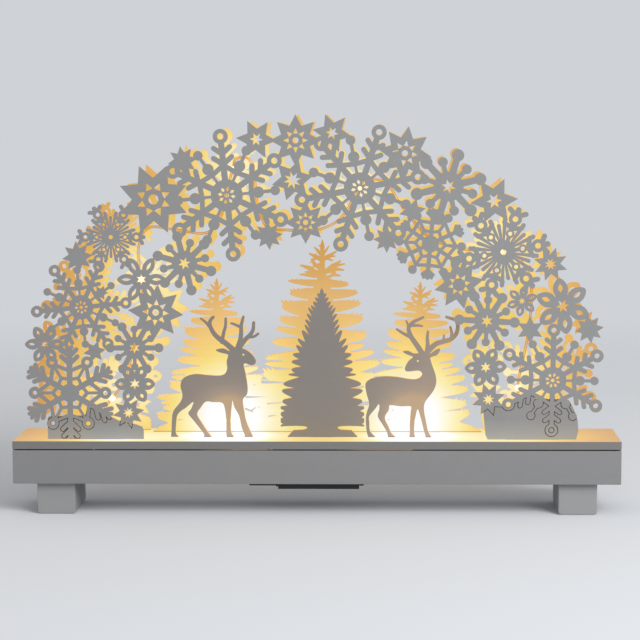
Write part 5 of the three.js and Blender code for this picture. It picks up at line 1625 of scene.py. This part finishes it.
# %% Geometry nodes: copies at places
def copies_tree():
    tree, given = new_tree("copies at places", Places="Object", Tip="Float")
    places = node(tree, "GeometryNodeObjectInfo", {"transform_space": "ORIGINAL"},
                  {"Object": given.outputs["Places"]})
    tip = node(tree, "ShaderNodeCombineXYZ", inputs={"X": given.outputs["Tip"]})
    copies = node(tree, "GeometryNodeInstanceOnPoints",
                  inputs={"Points": places.outputs["Geometry"], "Instance": given.outputs["Geometry"],
                          "Rotation": tip.outputs[0]})
    end_tree(tree, given, copies.outputs[0])
    return tree


COPIES_TREE = copies_tree()


def copies(name, mesh, spots, tip, paint):
    """Copies of a mesh at spots in metres, tipped about X by an angle in degrees."""
    places = places_of(name, spots)
    made = made_by(name, mesh, COPIES_TREE, {"Places": places, "Tip": math.radians(tip), "Paint": paint})
    bpy.data.objects.remove(places)
    return made


print("nodes in the copies tree:", len(COPIES_TREE.nodes))

# %% [markdown]
# ## Lamps
#
# Each lamp is a tiny chip in a bead of clear resin on the lead. Lit, the bead looks cream white all over,
# so its resin glows, with a gloss on top. It lies on the back of its panel, with its dome towards the
# back.

# %% Clear resin
# Fine ripples, 1.5 mm apart, as a drop of resin has when it sets: their spacing and height in millimetres
RIPPLE = 1.5
RIPPLE_HEIGHT = 0.05

lamp_resin, resin_tree = new_material("clear resin over a warm lamp")
ripples, resin_glow = speckled(resin_tree, RIPPLE, 0xFFE9B4, 0xFFF8E2, detail=1.0)
resin_relief = node(resin_tree, "ShaderNodeBump",
                    inputs={"Height": ripples, "Distance": RIPPLE_HEIGHT * MM, "Strength": 0.5}).outputs[0]
resin_shader = node(resin_tree, "ShaderNodeBsdfPrincipled",
                    inputs={"Base Color": linear(0xE8D9B4), "Roughness": 0.12, "IOR": 1.5,
                            "Normal": resin_relief, "Emission Color": resin_glow, "Emission Strength": 1.0})
node(resin_tree, "ShaderNodeOutputMaterial", inputs={"Surface": resin_shader.outputs[0]})
print("resin:", lamp_resin.name)

# %% Resin beads
# Radius and height from the panel's back to the dome's top
BEAD = [(0, 0), (2.1, 0), (2.4, 0.4), (2.4, 2.0), (2.15, 3.1), (1.5, 4.0), (0.7, 4.4), (0, 4.5)]
bead_places = [Vector((spot.x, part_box(name)[0].y, spot.z)) for name, spot in lamp_places.items()]
beads = copies("lamp_beads", lathe("bead", BEAD), bead_places, -90, lamp_resin)
finished("lamp_beads", beads, "root", LAMP_NAMES)

# %% [markdown]
# ## Leads
#
# Each lead is a pair of enamelled copper wires, thinner than a match. They run close together, part a
# little on the way and meet at every lamp. The routes are those of the solids, as points in millimetres.
# A node tree makes smooth curves of them and gives them a round section.

# %% Routes of the leads
# The switch, the leads' holes beside it, and the holes in the lid
SWITCH_X = -34.7
LEAD_HOLES = (-8, 0, 8)
ARCH_LID = (-165, -14.9)
DEER_LIDS = ((-65.6, -4.9), (71.7, -4.9))
# The planes of the leads behind the arch and behind the deer
ARCH_Y = -16.1
DEER_Y = -6.1
# x and height above the lid; a third value marks a place where the two wires meet at a lamp
ARCH_ROUTE = [(-165, 5), (-162, 14), (-156.4, 24.5), (-152, 30, 1), (-147.6, 35.5), (-140, 48), (-136, 66),
              (-126, 88), (-128, 112), (-129, 119, 1), (-130, 126), (-130, 145), (-122, 157.5),
              (-101, 155.5), (-80, 153.5), (-69, 166), (-62.5, 192), (-60, 200, 1), (-57.5, 208),
              (-46, 205), (-42, 175), (-35, 157.5), (-22, 155.5), (0, 155), (18, 163), (29, 179),
              (33, 185, 1), (37, 191), (52, 190), (66, 170), (84, 150), (108, 141), (128, 140.4),
              (136, 140, 1), (144, 139.6), (158, 120), (158, 85), (150.5, 46), (150, 38, 1), (149.8, 30),
              (149.8, 22)]
DEER_HEIGHTS = (7, 12, 17)
LID_Z = LID_TOP / MM
# Heights inside the base: at the switch, at its lead's bend, under the lid and in the lid's hole
SWITCH_Z = 29
BEND_START_Z = 38.7
BEND_END_Z = 44.4
RUN_Z = 45
HOLE_Z = 49.7
BEND = 4.5


def lead_start(hole, lid_x, lid_y):
    """From the switch up through the base to the hole in the lid."""
    bend = math.copysign(BEND, lid_x - SWITCH_X)
    return [(SWITCH_X, hole, SWITCH_Z), (SWITCH_X, hole, BEND_START_Z), (SWITCH_X + bend, hole, BEND_END_Z),
            ((SWITCH_X + lid_x) / 2, (hole + lid_y) / 2, RUN_Z), (lid_x - bend, lid_y, RUN_Z),
            (lid_x, lid_y, HOLE_Z), (lid_x, lid_y, LID_Z)]


print("points of the arch's route:", len(ARCH_ROUTE))

# %% Pairs of wires
# How far each wire lies from the route, on the way and where the two wires meet
WIRE_SPREAD = 0.6
WIRE_CLOSE = 0.46
UPRIGHT = 1e-6


def wire_pair(route, spreads):
    """Two wires, each to one side of the route, in the plane of the panel."""
    pair = []
    for side in (-1, 1):
        wire = []
        for i, (point, spread) in enumerate(zip(route, spreads)):
            along = Vector(route[min(i + 1, len(route) - 1)]) - Vector(route[max(i - 1, 0)])
            # Where the route runs straight back, the wires lie side by side.
            across = Vector((-along.z, 0, along.x))
            if across.length < UPRIGHT:
                across = Vector((1, 0, 0))
            wire.append((Vector(point) + across.normalized() * side * spread) * MM)
        pair.append(wire)
    return pair


arch_start = lead_start(LEAD_HOLES[0], *ARCH_LID)
arch_lead_route = arch_start + [(x, ARCH_Y, LID_Z + height) for x, height, *_ in ARCH_ROUTE]
arch_spreads = [WIRE_CLOSE] * len(arch_start) + [WIRE_CLOSE if at_lamp else WIRE_SPREAD
                                                 for _, _, *at_lamp in ARCH_ROUTE]
wires = wire_pair(arch_lead_route, arch_spreads)
for hole, (lid_x, lid_y) in zip(LEAD_HOLES[1:], DEER_LIDS):
    route = lead_start(hole, lid_x, lid_y) + [(lid_x, DEER_Y, LID_Z + height) for height in DEER_HEIGHTS]
    wires += wire_pair(route, [WIRE_CLOSE] * len(route))
print("wires:", len(wires), "points:", sum(map(len, wires)))

# %% Geometry nodes: wires along routes
def wire_tree():
    tree, given = new_tree("wires along routes", Radius="Float", Step="Float")
    routes = node(tree, "GeometryNodeMeshToCurve", inputs={"Mesh": given.outputs["Geometry"]})
    smooth = node(tree, "GeometryNodeCurveSplineType", {"spline_type": "CATMULL_ROM"},
                  {"Curve": routes.outputs[0]})
    even = node(tree, "GeometryNodeResampleCurve", {"mode": "LENGTH"},
                {"Curve": smooth.outputs[0], "Length": given.outputs["Step"]})
    section = node(tree, "GeometryNodeCurvePrimitiveCircle",
                   inputs={"Resolution": 8, "Radius": given.outputs["Radius"]})
    tube = node(tree, "GeometryNodeCurveToMesh",
                inputs={"Curve": even.outputs[0], "Profile Curve": section.outputs[0], "Fill Caps": True})
    end_tree(tree, given, tube.outputs[0])
    return tree


WIRE_TREE = wire_tree()
print("nodes in the wire tree:", len(WIRE_TREE.nodes))

# %% Enamelled copper
# Drawn wire has a slight uneven lacquer, in patches about 3 mm long, which makes it more or less golden.
LACQUER_PATCH = 3
# The wires also glow: painted lamplight, brighter near the lamps and faint everywhere else, inside the base
# too.
COPPER_UNDER = linear(0x6A4020)
COPPER_GLOW = [(0.0, 0xA8772C), (0.5, 0xBC8834), (2.0, 0xD8A850)]

copper_wire, copper_tree = new_material("enamelled copper wire in the lamps' light")
copper_tint = speckled(copper_tree, LACQUER_PATCH, 0xA8742A, 0xCC9C48)[1]
copper_glow = glow_colour(copper_tree, lamp_light(copper_tree, LAMP_REACH, 2.0), COPPER_GLOW, COPPER_UNDER,
                          COPPER_UNDER)
copper_shader = node(copper_tree, "ShaderNodeBsdfPrincipled",
                     inputs={"Base Color": copper_tint, "Metallic": 0.6, "Roughness": 0.35,
                             "Emission Color": copper_glow, "Emission Strength": 0.6})
node(copper_tree, "ShaderNodeOutputMaterial", inputs={"Surface": copper_shader.outputs[0]})
print("wire:", copper_wire.name)

# %% Wires along the routes
WIRE_RADIUS = 0.45
WIRE_STEP = 1.2
starts = [sum(map(len, wires[:i])) for i in range(len(wires))]
route_points = [tuple(point) for wire in wires for point in wire]
route_edges = [(first + i, first + i + 1) for first, wire in zip(starts, wires) for i in range(len(wire) - 1)]
route_mesh = bpy.data.meshes.new("wire_lines")
route_mesh.from_pydata(route_points, route_edges, [])
tubes = made_by("lamp_leads", route_mesh, WIRE_TREE,
                {"Radius": WIRE_RADIUS * MM, "Step": WIRE_STEP * MM, "Paint": copper_wire})
finished("lamp_leads", tubes, "root", ["arch_lead", "deer_lead_left", "deer_lead_right"])

# %% [markdown]
# ## Screws
#
# Zinc-plated screws hold the feet and the battery case. Their heads have a cross recess, which two
# crossing bars cut out of the turned head. The plating is bright but slightly cloudy, so its roughness
# varies.

# %% Zinc-plated steel
# The clouds' size in millimetres
ZINC_CLOUD = 1.2


def plated(name, size, dark, pale, sharpest, dullest, length=None):
    """Bright plating on steel, whose tint and roughness wander together."""
    material, tree = new_material(name)
    spots, tint = speckled(tree, size, dark, pale, length=length)
    rough = node(tree, "ShaderNodeMapRange", inputs={"Value": spots, "To Min": sharpest, "To Max": dullest})
    shader = node(tree, "ShaderNodeBsdfPrincipled",
                  inputs={"Base Color": tint, "Metallic": 1.0, "Roughness": rough.outputs[0]})
    node(tree, "ShaderNodeOutputMaterial", inputs={"Surface": shader.outputs[0]})
    return material


zinc = plated("zinc-plated steel", ZINC_CLOUD, 0xB4B6B8, 0xCDCED0, 0.28, 0.46)
print("screws:", zinc.name)

# %% A cross recess
# The width of each bar of the cross, as a share of its length
BAR_SHARE = 0.24


def recessed(name, mesh, width, depth, face):
    """Cuts a cross into a screw's flat head. Lengths are in millimetres, and face is the flat's height."""
    screw = linked(name, mesh)
    cutters = []
    for long_side, short_side in ((width, width * BAR_SHARE), (width * BAR_SHARE, width)):
        shape = bmesh.new()
        bmesh.ops.create_cube(shape, size=1.0)
        bmesh.ops.scale(shape, vec=(long_side * MM, short_side * MM, depth * 2 * MM), verts=shape.verts)
        bmesh.ops.translate(shape, vec=(0, 0, face * MM), verts=shape.verts)
        cutter_mesh = bpy.data.meshes.new("cross_bar")
        shape.to_mesh(cutter_mesh)
        shape.free()
        cutters.append(linked("cross_bar", cutter_mesh))
        cut = screw.modifiers.new("recess", "BOOLEAN")
        cut.operation = "DIFFERENCE"
        cut.object = cutters[-1]
    made = evaluated(screw)
    for thing in cutters + [screw]:
        bpy.data.objects.remove(thing)
    return made


# Each head's recess as (width, depth), and the height of the foot screws' heads
FOOT_RECESS = (3.2, 1.0)
CASE_RECESS = (2.4, 0.8)
HEAD = 1.8
FOOT_SCREW = [(0, -14), (0.5, -13.6), (1.6, -12), (1.6, 0), (3.4, 0), (3.4, 0.7), (2.9, 1.4), (1.9, HEAD),
              (0, HEAD)]
CASE_SCREW = [(0, 0), (2.2, 0), (2.2, 0.2), (1.1, 1.5), (1.1, 3.2), (0.4, 4.0), (0, 4.2)]
foot_screw = recessed("foot_screw", lathe("foot_screw", FOOT_SCREW), *FOOT_RECESS, HEAD)
case_screw = recessed("case_screw", lathe("case_screw", CASE_SCREW), *CASE_RECESS, 0.0)
print("faces of a foot screw:", len(foot_screw.polygons), "of a case screw:", len(case_screw.polygons))

# %% Screws in place
FOOT_SCREWS = [f"foot_screw_{number}" for number in range(1, 5)]
CASE_SCREWS = ["case_screw_1", "case_screw_2"]


def at_height(name, height):
    """The middle of a node, at a height in metres."""
    return middle_of(name).xy.to_3d() + Vector((0, 0, height))


foot_places = [at_height(name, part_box(name)[1].z - HEAD * MM) for name in FOOT_SCREWS]
case_places = [at_height(name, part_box(name)[0].z) for name in CASE_SCREWS]
finished("foot_screws", copies("foot_screws", foot_screw, foot_places, 0, zinc), "root",
         FOOT_SCREWS)
finished("case_screws", copies("case_screws", case_screw, case_places, 0, zinc), "root",
         CASE_SCREWS)

# %% [markdown]
# ## Battery case, cover and switch
#
# The case, its cover and the switch's slider are moulded ABS in black. A mould for such parts is spark
# eroded, which leaves a fine satin grain and soft edges. The grain is drawn at 0.4 mm, a little coarser
# than the real one, so that it still shows. The solids have the right shapes, so they are copied with
# rounded edges.

# %% Moulded plastic
SPARK_GRAIN = 0.4
SPARK_RELIEF = 0.04

abs_black, abs_tree = new_material("moulded black ABS")
spark, abs_tint = speckled(abs_tree, SPARK_GRAIN, 0x17171A, 0x232325)
abs_relief = node(abs_tree, "ShaderNodeBump",
                  inputs={"Height": spark, "Distance": SPARK_RELIEF * MM, "Strength": 0.5}).outputs[0]
abs_shader = node(abs_tree, "ShaderNodeBsdfPrincipled",
                  inputs={"Base Color": abs_tint, "Normal": abs_relief, "Roughness": 0.45})
node(abs_tree, "ShaderNodeOutputMaterial", inputs={"Surface": abs_shader.outputs[0]})

# Each moulding's name, solid, rounding in millimetres and body
for name, solid, roundness, body in (("moulded_case", "battery_case", 0.25, "root"),
                                     ("moulded_cover", "battery_cover", 0.3, "battery_cover"),
                                     ("moulded_slider", "switch_slider", 0.2, "switch_slider")):
    rounded_copy(name, solid, [abs_black], roundness, body)

# %% [markdown]
# ## Cells, contacts and the switch's shell
#
# These solids have the right shapes as they are, so they stay and only get better materials. A cell has a
# plain shrunk PVC sleeve with a copper band and bare nickel ends. The contacts and the switch's shell are
# nickel-plated sheet, rolled, so fine lines run along them.

# %% Cell sleeves
# A shrunk sleeve is glossy and a little uneven, in waves about 6 mm long, so its shine wanders.
SLEEVE_WAVE = 6
CELL_GREEN = linear(0x1E3A30)
CELL_COPPER = linear(0xA8683C)
CELL_NICKEL = linear(0xC4C2BC)
# Where the copper band starts and the sleeve ends, in millimetres from the cell's middle
BAND_START = 8.0
SLEEVE_END = 24.0


def stepped(tree, value, edge):
    """1 above the edge and 0 below it."""
    return node(tree, "ShaderNodeMath", {"operation": "GREATER_THAN"}, {0: value, 1: edge}).outputs[0]


cell_sleeve, cell_tree = new_material("shrunk PVC sleeve on a cell")
cell_place = node(cell_tree, "ShaderNodeTexCoord").outputs["Object"]
cell_x = node(cell_tree, "ShaderNodeSeparateXYZ", inputs={0: cell_place}).outputs["X"]
from_middle = node(cell_tree, "ShaderNodeMath", {"operation": "SUBTRACT"},
                   {0: cell_x, 1: middle_of("battery_1").x}).outputs[0]
to_end = node(cell_tree, "ShaderNodeMath", {"operation": "ABSOLUTE"}, {0: from_middle}).outputs[0]
wave = node(cell_tree, "ShaderNodeTexNoise",
            inputs={"Vector": cell_place, "Scale": 1 / (SLEEVE_WAVE * MM), "Detail": 2.0}).outputs["Fac"]
band = stepped(cell_tree, from_middle, BAND_START * MM)
bare = stepped(cell_tree, to_end, SLEEVE_END * MM)
sleeve = node(cell_tree, "ShaderNodeMix", {"data_type": "RGBA"},
              {"Factor": band, "A": CELL_GREEN, "B": CELL_COPPER}).outputs["Result"]
cell_tint = node(cell_tree, "ShaderNodeMix", {"data_type": "RGBA"},
                 {"Factor": bare, "A": sleeve, "B": CELL_NICKEL}).outputs["Result"]
cell_rough = node(cell_tree, "ShaderNodeMapRange",
                  inputs={"Value": wave, "To Min": 0.22, "To Max": 0.36}).outputs[0]
cell_shader = node(cell_tree, "ShaderNodeBsdfPrincipled",
                   inputs={"Base Color": cell_tint, "Metallic": bare, "Roughness": cell_rough})
node(cell_tree, "ShaderNodeOutputMaterial", inputs={"Surface": cell_shader.outputs[0]})
print("cells:", cell_sleeve.name)

# %% Nickel sheet
# Rolling lines 0.3 mm apart and about 8 mm long
LINE_LENGTH = 8
LINE_SPACING = 0.3

nickel = plated("rolled nickel-plated sheet", LINE_SPACING, 0xB8B5AE, 0xD2CFC8, 0.2, 0.38, LINE_LENGTH)
print("contacts:", nickel.name)

# %% New materials on the solids that stay
CELLS = ["battery_1", "battery_2", "battery_3"]
SHEET_PARTS = ["contact_positive", "contact_negative", "contact_bridge_left", "contact_bridge_right",
               "switch_body"]
for names, material in ((CELLS, cell_sleeve), (SHEET_PARTS, nickel)):
    for name in names:
        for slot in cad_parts[name].material_slots:
            slot.material = material
print("solids kept with new materials:", len(CELLS + SHEET_PARTS))
